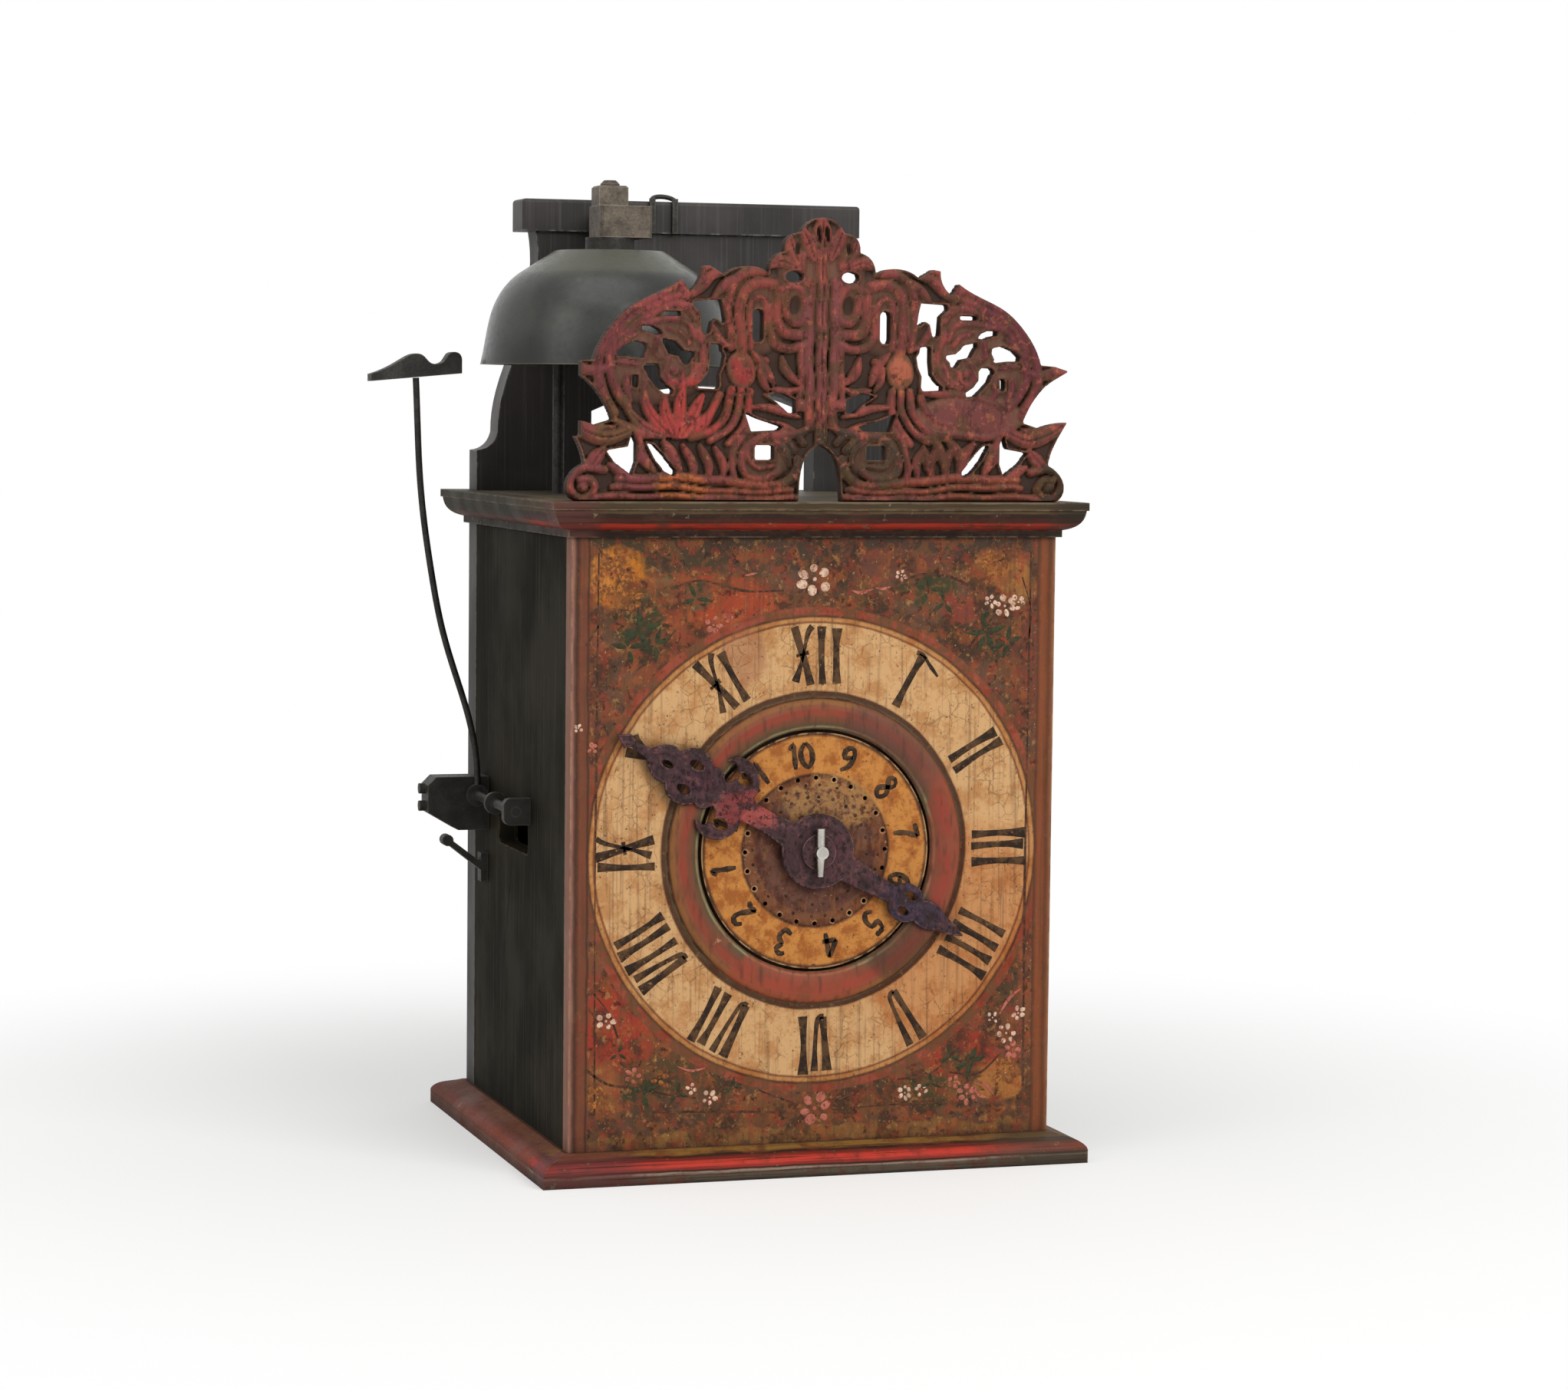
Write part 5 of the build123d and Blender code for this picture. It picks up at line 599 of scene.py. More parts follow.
# The carving is a field of heights over the crest's own outline. Strokes are (points, half width), across
# and above the cornice in mm, drawn on the right half and turned over for the left one. They are listed by
# half, 0 for both, 1 for right and -1 for left, and by ends: 1 keeps a band's width, 0 tapers a leaf.
crestCarving = {"step": 0.55, "ground": 2.8, "round": 1.5, "broad": 1.26, "base": corniceTop, "front": -91.0,
                "rear": -84.5, "tip": 0.08, "veined": 2.7, "vein": (0.3, 0.4), "tall": 3.3}
crestStrokes = {
    (0, 1): [
        ([(0, 24), (0, 60), (0, 98)], 2.2), ([(4.6, 30), (5.0, 45), (5.4, 62), (5.0, 86)], 1.9),
        ([(8.9, 37), (8.2, 50), (8.4, 60)], 1.3), ([(7, 84), (9, 90), (8, 96)], 1.5),
        ([(15, 80), (14.4, 73), (11, 69.4), (7.4, 71.5), (6.6, 77), (9, 82.5), (13, 83.5), (18, 82)], 1.6),
        ([(21.8, 76), (21.6, 67), (19, 61.4), (13, 59.4), (7, 61.5)], 1.6),
        ([(18.4, 80), (18.2, 70), (15, 65.5), (9.5, 65)], 2.0),
        ([(29.2, 60), (29.8, 74.5), (27.4, 79.4), (24, 79), (22.4, 74)], 1.3),
        ([(32.6, 58), (33.6, 75), (30.8, 83), (25.4, 85.4), (20, 84.5)], 2.1),
        ([(36.8, 60), (38.2, 74), (36.8, 83.6), (31.4, 88.6), (24.5, 89.6)], 1.7),
        ([(29.3, 43), (29.8, 35), (32.6, 28), (37.5, 22.5)], 1.5),
        ([(33, 43), (33.8, 35), (38, 28), (45, 24)], 1.5), ([(36.8, 43), (38.6, 34), (44.4, 28), (53, 25)], 1.6),
        ([(41.5, 41), (45, 34.5), (51, 31), (60, 29)], 1.6),
        ([(7, 23), (12, 27.5), (20, 30.3), (28, 28.6), (34, 22.5), (36.3, 14), (35.4, 8)], 1.4),
        ([(11, 20), (16, 25), (23, 25.6), (30, 21.6), (32.6, 14.5), (29.6, 9.6), (23, 9.2), (17.5, 11.5)], 1.6),
        ([(29.4, 23), (29.6, 17), (26, 13.4), (20, 14)], 1.0),
        ([(82, 8.4), (60, 9.2), (45, 8.4), (30, 6.6), (17, 6.4), (11, 10), (9.2, 16)], 1.8),
        ([(84, 5.2), (60, 5.6), (35, 3.4), (12, 4.2)], 1.4), ([(96, 1.4), (60, 1.7), (30, 0.9), (11, 1.2)], 1.5),
        ([(88, 12), (95, 13.4), (100.3, 10.5), (101.6, 6), (98.5, 1.6), (94, 1.6), (91.4, 5.2), (93.6, 8.8),
          (97.4, 8.4)], 1.6), ([(96, 5.4), (96.4, 5.8)], 1.9),
        ([(57.5, 85), (67, 79.4), (77, 74), (84, 67), (89, 59), (90.6, 50), (88.6, 42), (84, 34)], 2.0),
        ([(54.5, 80.6), (64, 77.6), (74, 73), (81, 66.4), (85.2, 58), (85.6, 49), (82.5, 41.5),
          (78.4, 36.5)], 1.8), ([(54.6, 76), (60, 76.2), (67, 73.4), (74, 69.4), (79.6, 64)], 1.4),
        ([(51.6, 71), (54, 74.2), (58, 75.6)], 1.3),
        ([(52.2, 64), (54.5, 68.6), (60, 70.2), (67, 70), (73, 68.8)], 1.4),
        ([(53.6, 46), (49.8, 49.4), (48.2, 54), (48.6, 60), (51, 66)], 1.5),
        ([(57.6, 44.4), (53, 48), (51, 53)], 1.5), ([(54.4, 61.4), (57.6, 65), (62.4, 66.8)], 1.3),
        ([(67.4, 62.6), (68.2, 58), (66, 55.6)], 1.5),
        ([(62.4, 54.4), (63.6, 50), (61.4, 46), (57.6, 47), (57.2, 50.4)], 1.5),
        ([(60, 50.2), (60.6, 50.8)], 1.5),
    ],
    (0, 0): [
        ([(0, 97), (0, 104), (0, 110)], 3.6), ([(3.5, 95), (6, 101), (8.2, 106)], 2.8),
        ([(8, 91), (12, 97), (14, 102.5)], 2.6), ([(12, 91.5), (17, 93.5), (21, 92)], 2.2),
        ([(28, 58), (23, 52.5), (20, 46)], 1.7), ([(16, 56), (14.5, 51), (10, 46)], 1.8),
        ([(25.5, 53), (24, 47), (22, 44)], 1.6), ([(9.5, 44), (14, 42.6), (20, 44)], 1.5),
        ([(3, 41), (8, 37), (13, 38)], 1.8), ([(9, 33), (15, 34.6), (22, 37), (28, 37)], 1.5),
        ([(4, 31), (8, 27), (15, 26), (24, 26.2)], 1.7), ([(12.5, 14), (14.5, 19.5), (19, 24)], 1.4),
        ([(40, 9.5), (40, 15), (43, 21)], 1.7), ([(46, 9.5), (45.8, 15), (49, 22)], 1.8),
        ([(52, 10), (52.4, 15.5), (56, 21.5)], 1.9), ([(57.5, 12), (60, 18), (64, 23)], 2.0),
        ([(74, 25), (72.6, 18), (68, 11.5)], 2.1), ([(77, 27.5), (86, 24.5), (95, 27), (102, 30.8)], 2.9),
        ([(84, 28.5), (90, 28), (97, 30)], 1.3), ([(88, 20), (92, 15.5), (93.5, 13)], 2.6),
        ([(86, 14), (81, 10.5), (76, 8.5)], 1.7), ([(75.6, 64.8), (79.6, 62.4), (84, 58)], 1.3),
        ([(74.4, 52.8), (79, 53.2), (83, 53.4)], 1.3), ([(71.6, 46.6), (72.2, 42.5), (70, 39)], 1.4),
        ([(79, 48.8), (79.4, 44), (77, 38.6)], 1.4), ([(84, 52), (91, 50.5), (98, 51.5), (104, 52)], 1.9),
        ([(33, 87), (40, 84), (44.5, 79)], 1.9), ([(39, 89), (45, 88), (49, 84), (53, 80)], 2.0),
        ([(45, 91), (48.6, 90), (49.6, 85)], 1.3), ([(55, 78.5), (57.4, 83), (57.2, 86)], 1.7),
        ([(38.4, 60), (42, 63), (44.4, 68)], 1.5),
    ],
    (-1, 0): [
        ([(56, 25), (49, 30), (43.5, 36)], 2.1), ([(57, 25), (52.5, 33), (48.5, 41)], 2.3),
        ([(58.5, 25), (57.5, 34), (56.5, 43)], 2.5), ([(60, 25), (63, 33), (63.5, 40)], 2.3),
        ([(62, 25.5), (68, 32), (72, 40)], 2.3), ([(64, 25), (73, 29.5), (79, 36)], 2.2),
        ([(68, 25.5), (77, 27.6), (84, 31)], 2.0),
    ],
    (1, 1): [
        ([(42, 44), (52, 42.5), (66, 41), (78, 37)], 1.6), ([(44, 25.5), (56, 26.5), (70, 26), (80, 29)], 1.5),
    ],
    (1, 0): [
        ([(47, 25), (50, 20), (51, 15)], 2.0), ([(53, 24), (57, 20), (58.6, 15)], 2.0),
        ([(43, 22), (44.4, 18), (44, 13)], 1.7),
    ],
}
# low swellings: (across, up, half width, half height, how high, half: 1 right, -1 left, 0 both)
crestFields = [(62, 33.5, 24, 9.5, 0.82, 1), (68, 62, 27, 25, 0.42, 0), (28, 74, 16, 18, 0.35, 0),
               (5, 84, 14, 24, 0.4, 0), (24, 20, 15, 12, 0.35, 0)]
# round knobs and sunk pits: (across, up, half width, half height)
crestKnobs = [(32.6, 51.2, 6.2, 7.8), (22.5, 55, 1.9, 1.9), (3.8, 100.5, 1.0, 1.6)]
crestPits = [(11.0, 76.4, 2.3, 4.0), (1.6, 104.6, 0.9, 3.4), (10.6, 98.4, 1.1, 2.6)]


def smoothLine(points, step):
    # an evenly stepped curve through the points
    points = np.array(points, float)
    if len(points) < 3:
        return points
    ends = np.vstack([2 * points[0] - points[1], points, 2 * points[-1] - points[-2]])
    line = []
    for p0, p1, p2, p3 in zip(ends, ends[1:], ends[2:], ends[3:]):
        steps = max(2, int(np.linalg.norm(p2 - p1) / step))
        for t in np.arange(steps) / steps:
            line.append(0.5 * (2 * p1 + (p2 - p0) * t + (2 * p0 - 5 * p1 + 4 * p2 - p3) * t * t
                               + (3 * p1 - p0 - 3 * p2 + p3) * t ** 3))
    return np.array(line + [points[-1]])


def nearestOn(spots, starts, ends):
    # for each spot: distance to the nearest of the segments, the point there and how far along the list it is
    best, place, share = np.full(len(spots), 1e9), np.zeros((len(spots), 2)), np.zeros(len(spots))
    for index, (a, b) in enumerate(zip(starts, ends)):
        along = b - a
        t = np.clip(((spots - a) @ along) / max(along @ along, 1e-12), 0, 1)
        foot = a + t[:, None] * along
        gap = np.linalg.norm(spots - foot, axis=1)
        nearer = gap < best
        best[nearer], place[nearer], share[nearer] = gap[nearer], foot[nearer], index + t[nearer]
    return best, place, share / max(len(starts), 1)


def frontEdges(node, level):
    # the outline of a flat front face, as pairs of points in mm, read from the CAD node's mesh
    mesh = node.data
    spots = np.array([v.co for v in mesh.vertices]) / mm
    count = {}
    for face in mesh.polygons:
        corners = [tuple(np.round(spots[i], 3)) for i in face.vertices]
        if all(abs(c[1] - level) < 0.01 for c in corners):
            for a, b in zip(corners, corners[1:] + corners[:1]):
                key = tuple(sorted(((a[0], a[2]), (b[0], b[2]))))
                count[key] = count.get(key, 0) + 1
    pairs = np.array([key for key, used in count.items() if used == 1 and key[0] != key[1]], float)
    return pairs[:, 0], pairs[:, 1]


def insideOf(spots, starts, ends):
    # which spots the outline goes round: those with an odd number of crossings to their right
    inside = np.zeros(len(spots), bool)
    for a, b in zip(starts, ends):
        if a[1] != b[1]:
            spans = (spots[:, 1] < max(a[1], b[1])) & (spots[:, 1] >= min(a[1], b[1]))
            cross = a[0] + (spots[:, 1] - a[1]) * (b[0] - a[0]) / (b[1] - a[1])
            inside ^= spans & (spots[:, 0] < cross)
    return inside


def dome(square):
    # a rounded back: 1 in the middle, 0 where the square of the way out reaches 1
    return np.sqrt(np.clip(1 - square, 0, 1))


def outOf(spots, x, z, wide, high):
    # how far out of an ellipse's middle the spots are, squared: 1 on its edge
    return ((spots[:, 0] - x) / wide) ** 2 + ((spots[:, 1] - z) / high) ** 2


def crestRise(spots):
    # 0 on the ground to 1 on top of the ornament
    hand = np.array([0.35, 0.27])
    spots = spots + 0.3 * np.sin(spots[:, ::-1] * hand + np.array([1.0, 2.0]))  # unsteady, as by hand
    half = np.sign(spots[:, 0])
    spots[:, 0] = np.abs(spots[:, 0])
    rise = np.zeros(len(spots))
    for x, z, wide, high, share, side in crestFields:
        body = share * dome(outOf(spots, x, z, wide, high) ** 2)
        rise = np.maximum(rise, body * (half * side >= 0))
    strokes = [(key, stroke) for key, listed in crestStrokes.items() for stroke in listed]
    for (side, ends), (points, halfWidth) in strokes:
        line, halfWidth = smoothLine(points, 1.2), halfWidth * crestCarving["broad"]
        low, high = line.min(0) - halfWidth, line.max(0) + halfWidth
        near = np.where(((spots > low) & (spots < high)).all(1) & (half * side >= 0))[0]
        gap, _, share = nearestOn(spots[near], line[:-1], line[1:])
        tip = crestCarving["tip"] + (1 - 2 * crestCarving["tip"]) * share
        width = halfWidth * (1 if ends else np.sqrt(np.clip(np.sin(np.pi * tip), 0, 1)))
        lump = dome((gap / width) ** 2)
        if halfWidth > crestCarving["veined"]:
            sunk, veinWidth = crestCarving["vein"]
            lump -= sunk * np.exp(-(gap / veinWidth) ** 2)  # a vein down the middle of wide leaves
        rise[near] = np.maximum(rise[near], lump * (0.74 + 0.26 * min(1, halfWidth / crestCarving["tall"])))
    for knob in crestKnobs:
        rise = np.maximum(rise, dome(outOf(spots, *knob)))
    for pit in crestPits:
        rise *= 1 - dome(outOf(spots, *pit))
    return rise


def carveFront(node, look, risen):
    # a closed shell over a flat node's outline, with the heights that risen gives to its front
    starts, ends = frontEdges(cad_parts[node], look["front"])
    starts, ends = starts - [0, look["base"]], ends - [0, look["base"]]
    low, high, step = starts.min(0) - 1, starts.max(0) + 1, look["step"]
    columns, rows = (int(n) for n in np.ceil((high - low) / step))
    gridX, gridZ = np.meshgrid(low[0] + step * np.arange(columns), low[1] + step * np.arange(rows))
    spots = np.column_stack([gridX.ravel(), gridZ.ravel()])
    inside = insideOf(spots, starts, ends)
    index = np.arange(len(spots)).reshape(rows, columns)
    cells = np.column_stack([index[:-1, :-1].ravel(), index[:-1, 1:].ravel(), index[1:, 1:].ravel(),
                             index[1:, :-1].ravel()])
    cells = cells[inside[cells].sum(1) >= 2]
    used = np.unique(cells)
    gap, foot, _ = nearestOn(spots[used], starts, ends)
    snap = ~inside[used] | (gap < 0.22 * step)
    flat = spots[used].copy()
    flat[snap], gap[snap] = foot[snap], 0
    radius = look["round"]  # of the quarter circle along the outline
    rim = radius - np.sqrt(np.clip(radius ** 2 - (radius - np.minimum(gap, radius)) ** 2, 0, None))
    depth = look["ground"] * (1 - risen(flat)) * np.clip(0.25 + gap / 1.6, 0, 1)
    depth = np.maximum(depth, rim)
    order = {old: new for new, old in enumerate(used)}
    shell = bmesh.new()
    points = [shell.verts.new((x * mm, (look["front"] + d) * mm, (z + look["base"]) * mm))
              for (x, z), d in zip(flat, depth)]
    for cell in cells:
        shell.faces.new([points[order[i]] for i in cell])
    shortest = 0.06 * mm
    bmesh.ops.remove_doubles(shell, verts=shell.verts, dist=shortest)
    bmesh.ops.dissolve_degenerate(shell, edges=shell.edges, dist=0.5 * shortest)
    border = [e for e in shell.edges if len(e.link_faces) == 1]
    walls = bmesh.ops.extrude_edge_only(shell, edges=border)["geom"]
    for corner in walls:
        if isinstance(corner, bmesh.types.BMVert):
            corner.co.y = look["rear"] * mm
    rearEdges = [e for e in walls if isinstance(e, bmesh.types.BMEdge) and len(e.link_faces) == 1
                 and all(abs(v.co.y - look["rear"] * mm) < 1e-6 for v in e.verts)]
    bmesh.ops.triangle_fill(shell, edges=rearEdges, use_beauty=False, normal=(0, 1, 0))
    bmesh.ops.recalc_face_normals(shell, faces=shell.faces)
    return shell


def makePiece(name, shell, material, body, sharp=40.0):
    mesh = bpy.data.meshes.new(name)
    shell.to_mesh(mesh)
    shell.free()
    mesh.materials.append(material)
    mesh.shade_smooth()
    mesh.set_sharp_from_angle(angle=math.radians(sharp))
    piece = bpy.data.objects.new(name, mesh)
    bpy.context.scene.collection.objects.link(piece)
    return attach(piece, body)


carving = makePiece("crest_carving", carveFront("crest", crestCarving, crestRise), crestOil, "case", 60.0)
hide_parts("crest")

print("hour hand")
# filed ribs along the hand: (points along and beside it, half width), one side of it
handCarving = {"step": 0.5, "ground": 0.85, "round": 0.8, "base": dialHeight, "angle": 150.0, "low": 0.35,
               "front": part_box("hour_hand")[0][1] / mm, "rear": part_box("hour_hand")[1][1] / mm}
handRibs = [
    ([(14, 0), (25, 0), (36, 0)], 1.7), ([(34, 2.5), (35.5, 9), (41, 13.8), (47.5, 13.6)], 1.5),
    ([(36, 1), (42, 4.5), (47, 9)], 1.2), ([(46, 2), (52, 4), (59, 8.6), (66, 7.6)], 1.4),
    ([(52, 0), (60, 1), (68, 2)], 1.2), ([(68, 3), (73, 4.6), (79, 1.6)], 1.2), ([(80, 0), (88, 0)], 0.8),
    ([(-14, 0), (-26, 0), (-37, 0)], 1.8), ([(-36, 2), (-40, 5.4), (-46, 5)], 1.3),
    ([(-48, 1), (-55, 3), (-62, 1)], 1.3),
]


def handRise(spots):
    # from low between the ribs to 1 on top of them; the ring about the hub is raised too
    low = handCarving["low"]
    angle = math.radians(handCarving["angle"])
    local = spots @ np.array([[math.cos(angle), -math.sin(angle)], [math.sin(angle), math.cos(angle)]])
    local[:, 1] = np.abs(local[:, 1])
    rise = np.full(len(spots), low)
    for points, halfWidth in handRibs:
        line = smoothLine(points, 1.0)
        gap, _, _ = nearestOn(local, line[:-1], line[1:])
        rise = np.maximum(rise, low + (1 - low) * dome((gap / halfWidth) ** 2))
    hub = np.abs(np.linalg.norm(local, axis=1) - 11.5)
    return np.maximum(rise, low + (1 - low) * dome((hub / 1.6) ** 2))


hand = makePiece("carved_hour_hand", carveFront("hour_hand", handCarving, handRise), handOil, "hour", 50.0)
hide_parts("hour_hand")

print("dial paint")


def bridgeRings(shell, rings):
    # faces between rings of corners, and the two ends closed
    for before, after in zip(rings, rings[1:]):
        for i in range(len(before)):
            shell.faces.new((before[i - 1], before[i], after[i], after[i - 1]))
    shell.faces.new(rings[0][::-1])
    shell.faces.new(rings[-1])


def paintStroke(shell, points, widths, front, proud=0.14):
    # a brush stroke as a low closed ridge; points across and up, half widths along it, all in mm
    line = smoothLine(points, 1.0) if len(points) > 2 else np.linspace(points[0], points[1], 8)
    along = np.gradient(line, axis=0)
    along /= np.linalg.norm(along, axis=1)[:, None]
    half = np.interp(np.linspace(0, 1, len(line)), np.linspace(0, 1, len(widths)), widths)
    rings = []
    for (x, z), (alongX, alongZ), width in zip(line, along, half):
        rings.append([shell.verts.new(((x - alongZ * side * width) * mm, (front - lift) * mm,
                                       (z + alongX * side * width) * mm))
                      for side, lift in ((-1, -0.05), (-0.8, proud), (0.8, proud), (1, -0.05))])
    bridgeRings(shell, rings)


def paintSpot(shell, x, z, wide, high, turn, front, proud=0.22, tip=0.0):
    # one touch of the brush: a low dome, drawn to a point where tip is more than 0
    corners, rings = 14, []
    for share, lift in ((1.0, -0.05), (0.8, 0.7 * proud), (0.35, proud)):
        ring = []
        for step in range(corners):
            angle = 2 * math.pi * step / corners
            a, b = wide * share * math.cos(angle), high * share * math.sin(angle)
            a *= 1 - tip * max(0.0, math.sin(angle))
            ring.append(shell.verts.new(((x + a * math.cos(turn) + b * math.sin(turn)) * mm, (front - lift) * mm,
                                         (z - a * math.sin(turn) + b * math.cos(turn)) * mm)))
        rings.append(ring)
    bridgeRings(shell, rings)


def shaky(amount):  # as an unsteady hand is
    return random.uniform(-amount, amount)


def placedOnDial(points, angle, radius):
    # local points (along the ring, out from radius) turned to a clockwise angle in degrees
    turn = math.radians(angle)
    return [(t * math.cos(turn) + (radius + h) * math.sin(turn), dialHeight - t * math.sin(turn)
             + (radius + h) * math.cos(turn)) for t, h in points]


# a stroke is (local points: along the ring in mm, out as a share of the height; half widths along it)
roman = {"inner": 66.0, "tall": 22.6, "half": 1.4, "step": {"I": 5.6, "V": 9.0, "X": 10.4},
         "numerals": ("XII", "I", "II", "III", "IIII", "V", "VI", "VII", "VIII", "IX", "X", "XI")}
romanStrokes = {
    "I": [([(0.2, 0), (-0.15, 0.5), (0.1, 1)], (1.35, 0.95, 0.9, 1.0, 1.5))],
    "V": [([(-2.7, 1.0), (-1.9, 0.5), (-1.0, 0.02)], (1.5, 1.05, 1.0, 1.15)),
          ([(2.9, 1.0), (2.4, 0.45), (1.3, 0.06), (-1.1, 0.02)], (1.1, 0.75, 0.6, 0.8))],
    "X": [([(-3.4, 1.0), (-1.2, 0.66), (1.2, 0.34), (3.2, 0.0)], (1.4, 1.1, 1.1, 1.4)),
          ([(3.8, 1.0), (1.9, 0.86), (-0.6, 0.4), (-3.2, 0.05)], (0.9, 0.5, 0.55, 1.1)),
          ([(-2.4, 0.5), (2.6, 0.54)], (0.5, 0.4, 0.7))],
}
numerals = bmesh.new()
for hour, word in enumerate(roman["numerals"]):
    full = sum(roman["step"][letter] for letter in word)
    start = -full / 2
    for letter in word:
        middle = start + roman["step"][letter] / 2 + shaky(0.3)
        start += roman["step"][letter]
        lean, reach = shaky(0.5), 1 + shaky(0.05)
        for points, widths in romanStrokes[letter]:
            local = [(middle + t + lean * h, (h * reach + shaky(0.012)) * roman["tall"]) for t, h in points]
            paintStroke(numerals, placedOnDial(local, hour * 30 + shaky(0.4), roman["inner"]),
                        [w * roman["half"] * random.uniform(0.9, 1.15) for w in widths], boardFront)
# the flourish over the I
flag = [(t, roman["tall"] + h) for t, h in ((0.2, 0), (3.0, 0.4), (7.0, -1.8), (12.5, -4.4))]
paintStroke(numerals, placedOnDial(flag, 28, roman["inner"]), (1.1, 0.6, 0.9, 0.5), boardFront)
makePiece("dial_numerals", numerals, numeralBlack, "case")

# flowers of dabbed petals: where, how many petals, how far out, petal size
dabbedFlowers = {
    "white": [
        (-1.3, 235.5, 6, 5.6, 2.5), (-85, 63, 5, 3.0, 1.5), (-42.5, 31, 5, 2.6, 1.3), (39, 29.5, 6, 2.6, 1.2),
        (46, 30.5, 5, 2.2, 1.1), (34.7, 236.9, 5, 1.9, 1.1), (78.7, 224.5, 6, 3.6, 1.6), (84.5, 226, 5, 2.4, 1.3),
        (72.5, 226.5, 5, 2.2, 1.1), (-97, 178, 4, 1.4, 1.0), (82, 52, 6, 3.2, 1.5), (87, 60, 5, 2.4, 1.2),
        (76, 58.5, 4, 2.0, 1.0), (-50, 35, 4, 1.8, 1.0),
    ],
    "pink": [
        (1.1, 24.8, 6, 5.4, 2.4), (-42.7, 217.6, 5, 2.6, 1.5), (-36.5, 221, 4, 1.8, 1.1), (-74, 41, 5, 2.6, 1.4),
        (65.4, 28, 6, 3.4, 1.6), (60, 33, 5, 2.2, 1.2), (84.8, 45, 5, 2.8, 1.6), (-91, 170, 4, 1.8, 1.2),
    ],
    "ochre": [
        (-84, 236, 8, 5.6, 3.0), (-76, 228, 6, 3.4, 2.0), (74, 241, 7, 4.8, 2.4), (81.7, 36.9, 7, 4.4, 2.2),
        (-88, 33, 6, 3.6, 2.0), (-63, 39.8, 5, 2.6, 1.4), (-80, 245, 5, 3.0, 1.8),
    ],
}
petalPink = brushPaint("petalPink", "#AC6654", "#74382E", 0.53)
for tint, paint in (("white", petalWhite), ("pink", petalPink), ("ochre", petalOchre)):
    flowers = bmesh.new()
    for x, z, petals, out, size in dabbedFlowers[tint]:
        turn = random.uniform(0, 2)
        for petal in range(petals):
            angle = turn + 2 * math.pi * petal / petals + shaky(0.22)
            far, wide = 0.9 * out * random.uniform(0.85, 1.15), 0.85 * size * random.uniform(0.65, 1.1)
            paintSpot(flowers, x + far * math.sin(angle), z + far * math.cos(angle), wide,
                      size * random.uniform(0.65, 1.1), angle + shaky(0.4), boardFront, 0.12)
        paintSpot(flowers, x, z, 0.35 * size, 0.35 * size, 0.0, boardFront)
    makePiece("dial_flowers_" + tint, flowers, paint, "case")

# sprays of leaves: where, how many, size
leafTouches = [
    (-72, 216, 5, 3.4), (-66, 210, 4, 2.6), (-77, 209, 4, 2.8), (-50, 228, 3, 2.4), (46, 231, 4, 2.6),
    (53, 226, 3, 2.2), (71, 214, 5, 3.2), (80, 210, 4, 2.6), (66.8, 41, 4, 2.8), (58, 44, 3, 2.0),
    (-70, 34, 4, 2.4), (-56, 33, 3, 2.0), (50, 33, 3, 1.8), (-33, 35, 3, 1.6), (-80, 50, 3, 1.6),
]
leaves = bmesh.new()
for x, z, count, size in leafTouches:
    for leaf in range(count):
        angle = 2 * math.pi * leaf / count + shaky(0.5)
        paintSpot(leaves, x + 1.5 * size * math.sin(angle), z + 1.5 * size * math.cos(angle), 0.42 * size,
                  1.25 * size * random.uniform(0.8, 1.15), angle, boardFront, 0.18, 0.75)
makePiece("dial_leaves", leaves, leafGreen, "case")

# stems and drawn borders, then the painter's quick accents: (points, half width)
drawnLines = [
    ([(-66, 26.2), (-40, 25.4), (-15.5, 24)], 0.45), ([(16, 24.4), (40, 25), (70, 24.2)], 0.35),
    ([(-93, 44), (-84, 38), (-72, 36), (-60, 33), (-48, 31)], 0.5), ([(-94, 210), (-85, 222), (-72, 224)], 0.5),
    ([(-60, 232), (-48, 235), (-30, 231), (-14, 231)], 0.5), ([(-74, 200), (-66, 206), (-58, 216)], 0.45),
    ([(30, 231), (42, 237), (56, 236), (66, 231)], 0.5), ([(62, 206), (70, 216), (76, 222)], 0.5),
    ([(88, 206), (90, 222), (86, 236)], 0.4), ([(58, 37), (70, 36), (80, 44)], 0.5),
    ([(36, 35), (50, 37), (62, 47)], 0.45), ([(-90, 74), (-84, 66), (-80, 56)], 0.4),
    ([(-22, 33), (-12, 29), (-7, 27)], 0.4), ([(24, 33), (14, 29), (8.5, 27)], 0.4),
    ([(89.5, 30), (89, 120), (89.6, 246)], 0.5), ([(-89.4, 26), (-89.8, 120), (-89.2, 246)], 0.5),
]
quickAccents = [
    ([(14, 231), (18, 230), (23, 231.5)], 0.7), ([(24, 232), (27, 231.5), (30, 232.4)], 0.6),
    ([(-30, 237), (-25, 238)], 0.5), ([(68, 30), (71, 27), (75, 26)], 0.6), ([(70, 33), (74, 31), (77, 27)], 0.6),
    ([(79, 60), (83, 66), (88, 70)], 0.7), ([(-56, 44), (-50, 42), (-44, 43)], 0.5),
]
lines = bmesh.new()
for points, width in drawnLines:
    paintStroke(lines, points, [width * random.uniform(0.5, 1.4) for _ in range(6)], boardFront, 0.08)
makePiece("dial_drawn_lines", lines, lineBrown, "case")
accents = bmesh.new()
for points, width in quickAccents:
    paintStroke(accents, points, (0.4 * width, width, 1.1 * width, 0.3 * width), boardFront, 0.16)
makePiece("dial_accents", accents, petalPink, "case")

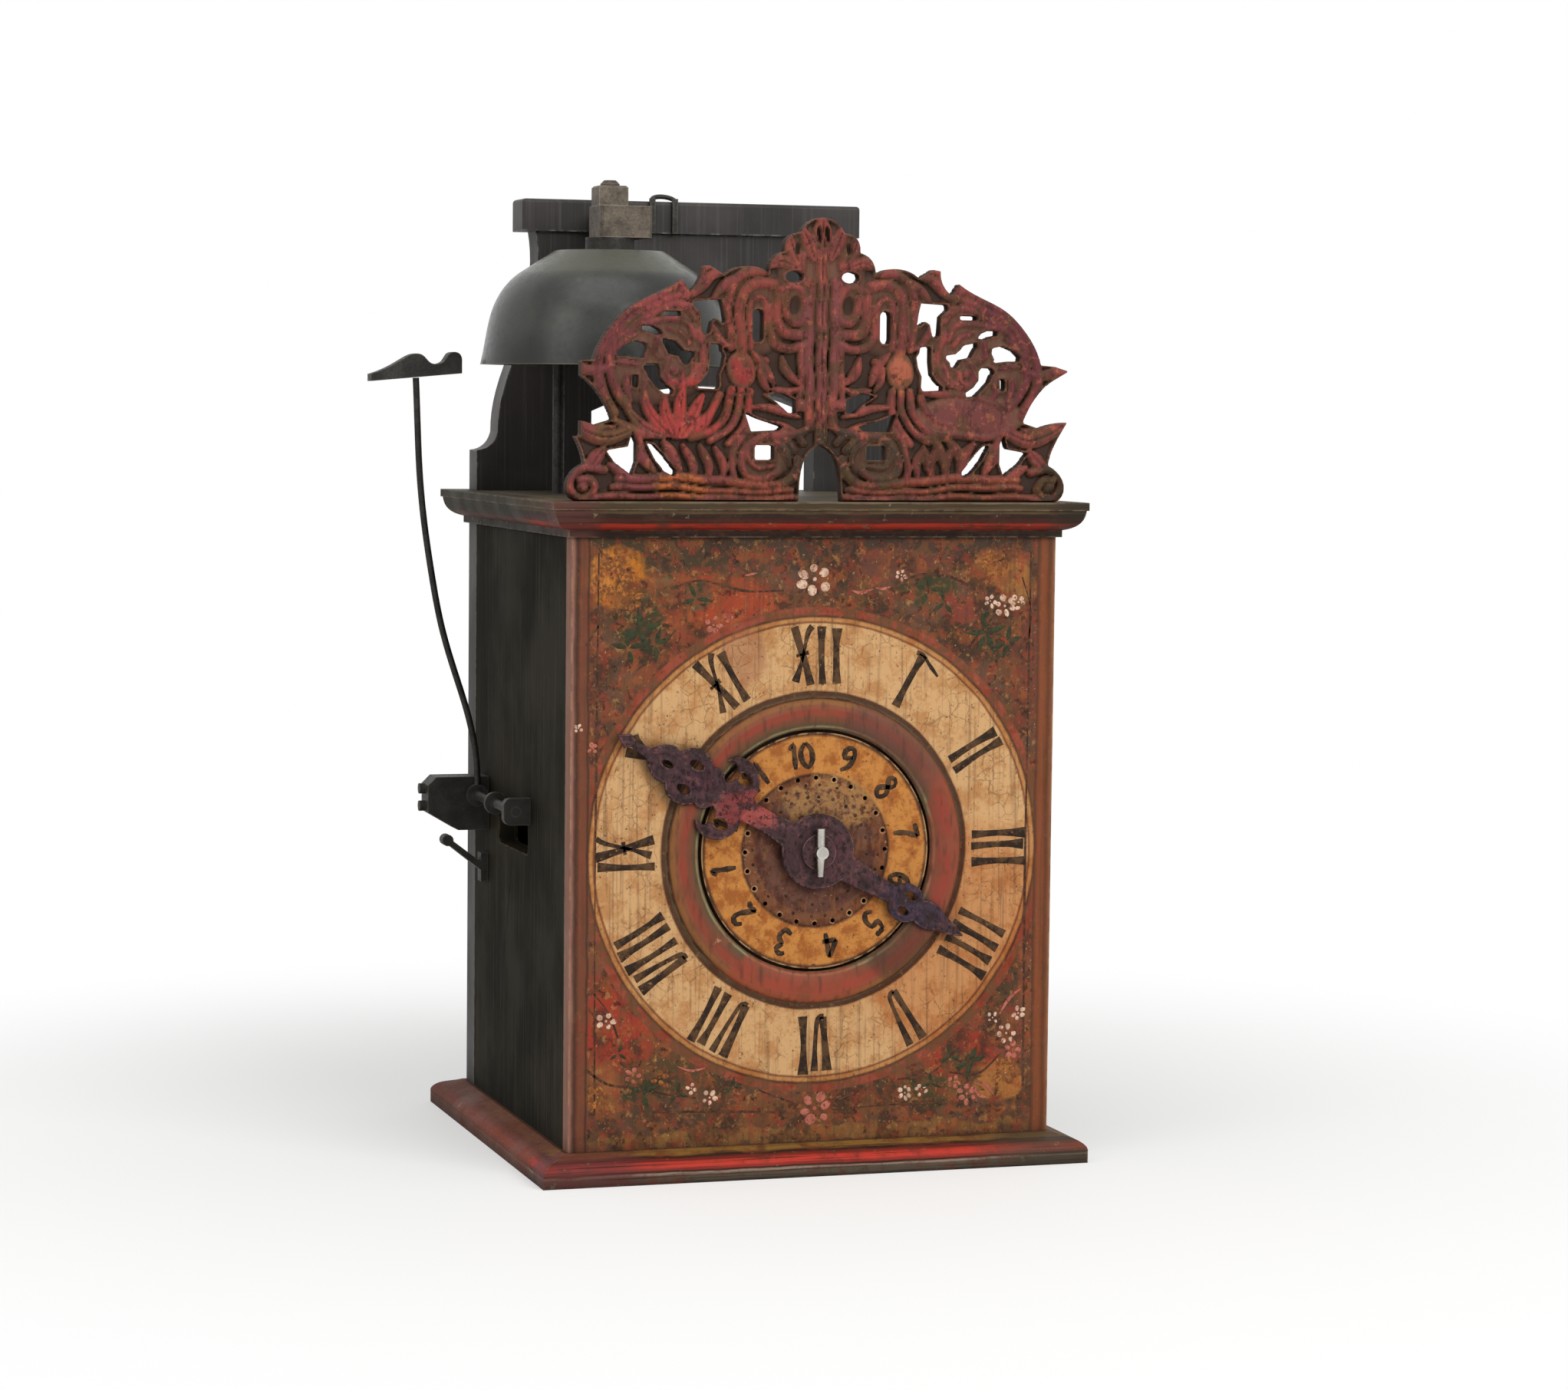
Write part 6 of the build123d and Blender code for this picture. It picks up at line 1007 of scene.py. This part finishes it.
print("alarm numbers")
alarmHand = {"radius": 38.2, "scale": 1.22, "half": 1.1, "first": 20.0}
digits = {
    "0": [[(0, 4), (-1.9, 1.2), (-1.7, -2), (0, -4), (1.8, -2), (1.9, 1.4), (0.2, 4)]],
    "1": [[(-1.4, 2.6), (0.2, 4), (0.1, 0), (-0.1, -4)]],
    "2": [[(-1.9, 2.4), (-0.6, 4), (1.5, 3.4), (1.4, 1.0), (-2, -3.7)], [(-2, -3.7), (0, -3.1), (2.2, -4)]],
    "3": [[(-1.8, 3.3), (0, 4), (1.6, 2.6), (-0.2, 0.7)], [(-0.2, 0.7), (1.9, -1.2), (0.5, -3.9), (-2, -3.1)]],
    "4": [[(1.1, -4), (1.0, 4)], [(1.0, 4), (-2.4, -1.2)], [(-2.4, -1.2), (2.6, -1.4)]],
    "5": [[(2, 4), (-1.4, 3.8)], [(-1.4, 3.8), (-1.5, 0.8), (1.2, 0.8), (1.8, -2), (0.2, -4), (-2, -3)]],
    "6": [[(1.8, 3.6), (-1.1, 2), (-1.9, -1.6), (-0.2, -4), (1.8, -2.4), (1.0, -0.1), (-1.5, -1)]],
    "7": [[(-2.2, 3.5), (2.4, 4)], [(2.4, 4), (0.3, 0), (-0.4, -4)]],
    "8": [[(1.5, 3), (0, 4), (-1.6, 2.6), (1.7, -1.4), (0.2, -4), (-1.8, -2), (1.3, 1.6), (1.5, 3)]],
    "9": [[(1.5, 1.2), (-1.1, 0.3), (-1.8, 2.5), (0.2, 4), (1.8, 2.4), (1.3, -1.6), (-1.3, -4)]],
}
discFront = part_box("alarm_disc")[0][1] / mm
numbers = bmesh.new()
for step in range(12):
    number = str((9 - step - 1) % 12 + 1)  # the hours run anticlockwise, because the disc turns under the hand
    for index, letter in enumerate(number):
        middle = (index - (len(number) - 1) / 2) * 4.2
        for points in digits[letter]:
            local = [((t * 0.95 + middle) * alarmHand["scale"], h * alarmHand["scale"]) for t, h in points]
            paintStroke(numbers, placedOnDial(local, alarmHand["first"] + 30 * step, alarmHand["radius"]),
                        [alarmHand["half"] * w for w in (0.7, 1.2, 0.9, 1.2, 0.7)], discFront, 0.1)
makePiece("alarm_disc_numbers", numbers, numeralBlack, "alarm_dial")
ornament = bmesh.new()
for step in range(24):
    angle = math.radians(15 * step + 4 + shaky(2.0))
    for out, size in ((21.4, 0.85), (26.2, 0.75)):
        paintSpot(ornament, out * math.sin(angle), dialHeight + out * math.cos(angle), size,
                  size * random.uniform(0.7, 1.1), angle, discFront, 0.08)
makePiece("alarm_disc_dots", ornament, numeralBlack, "alarm_dial")
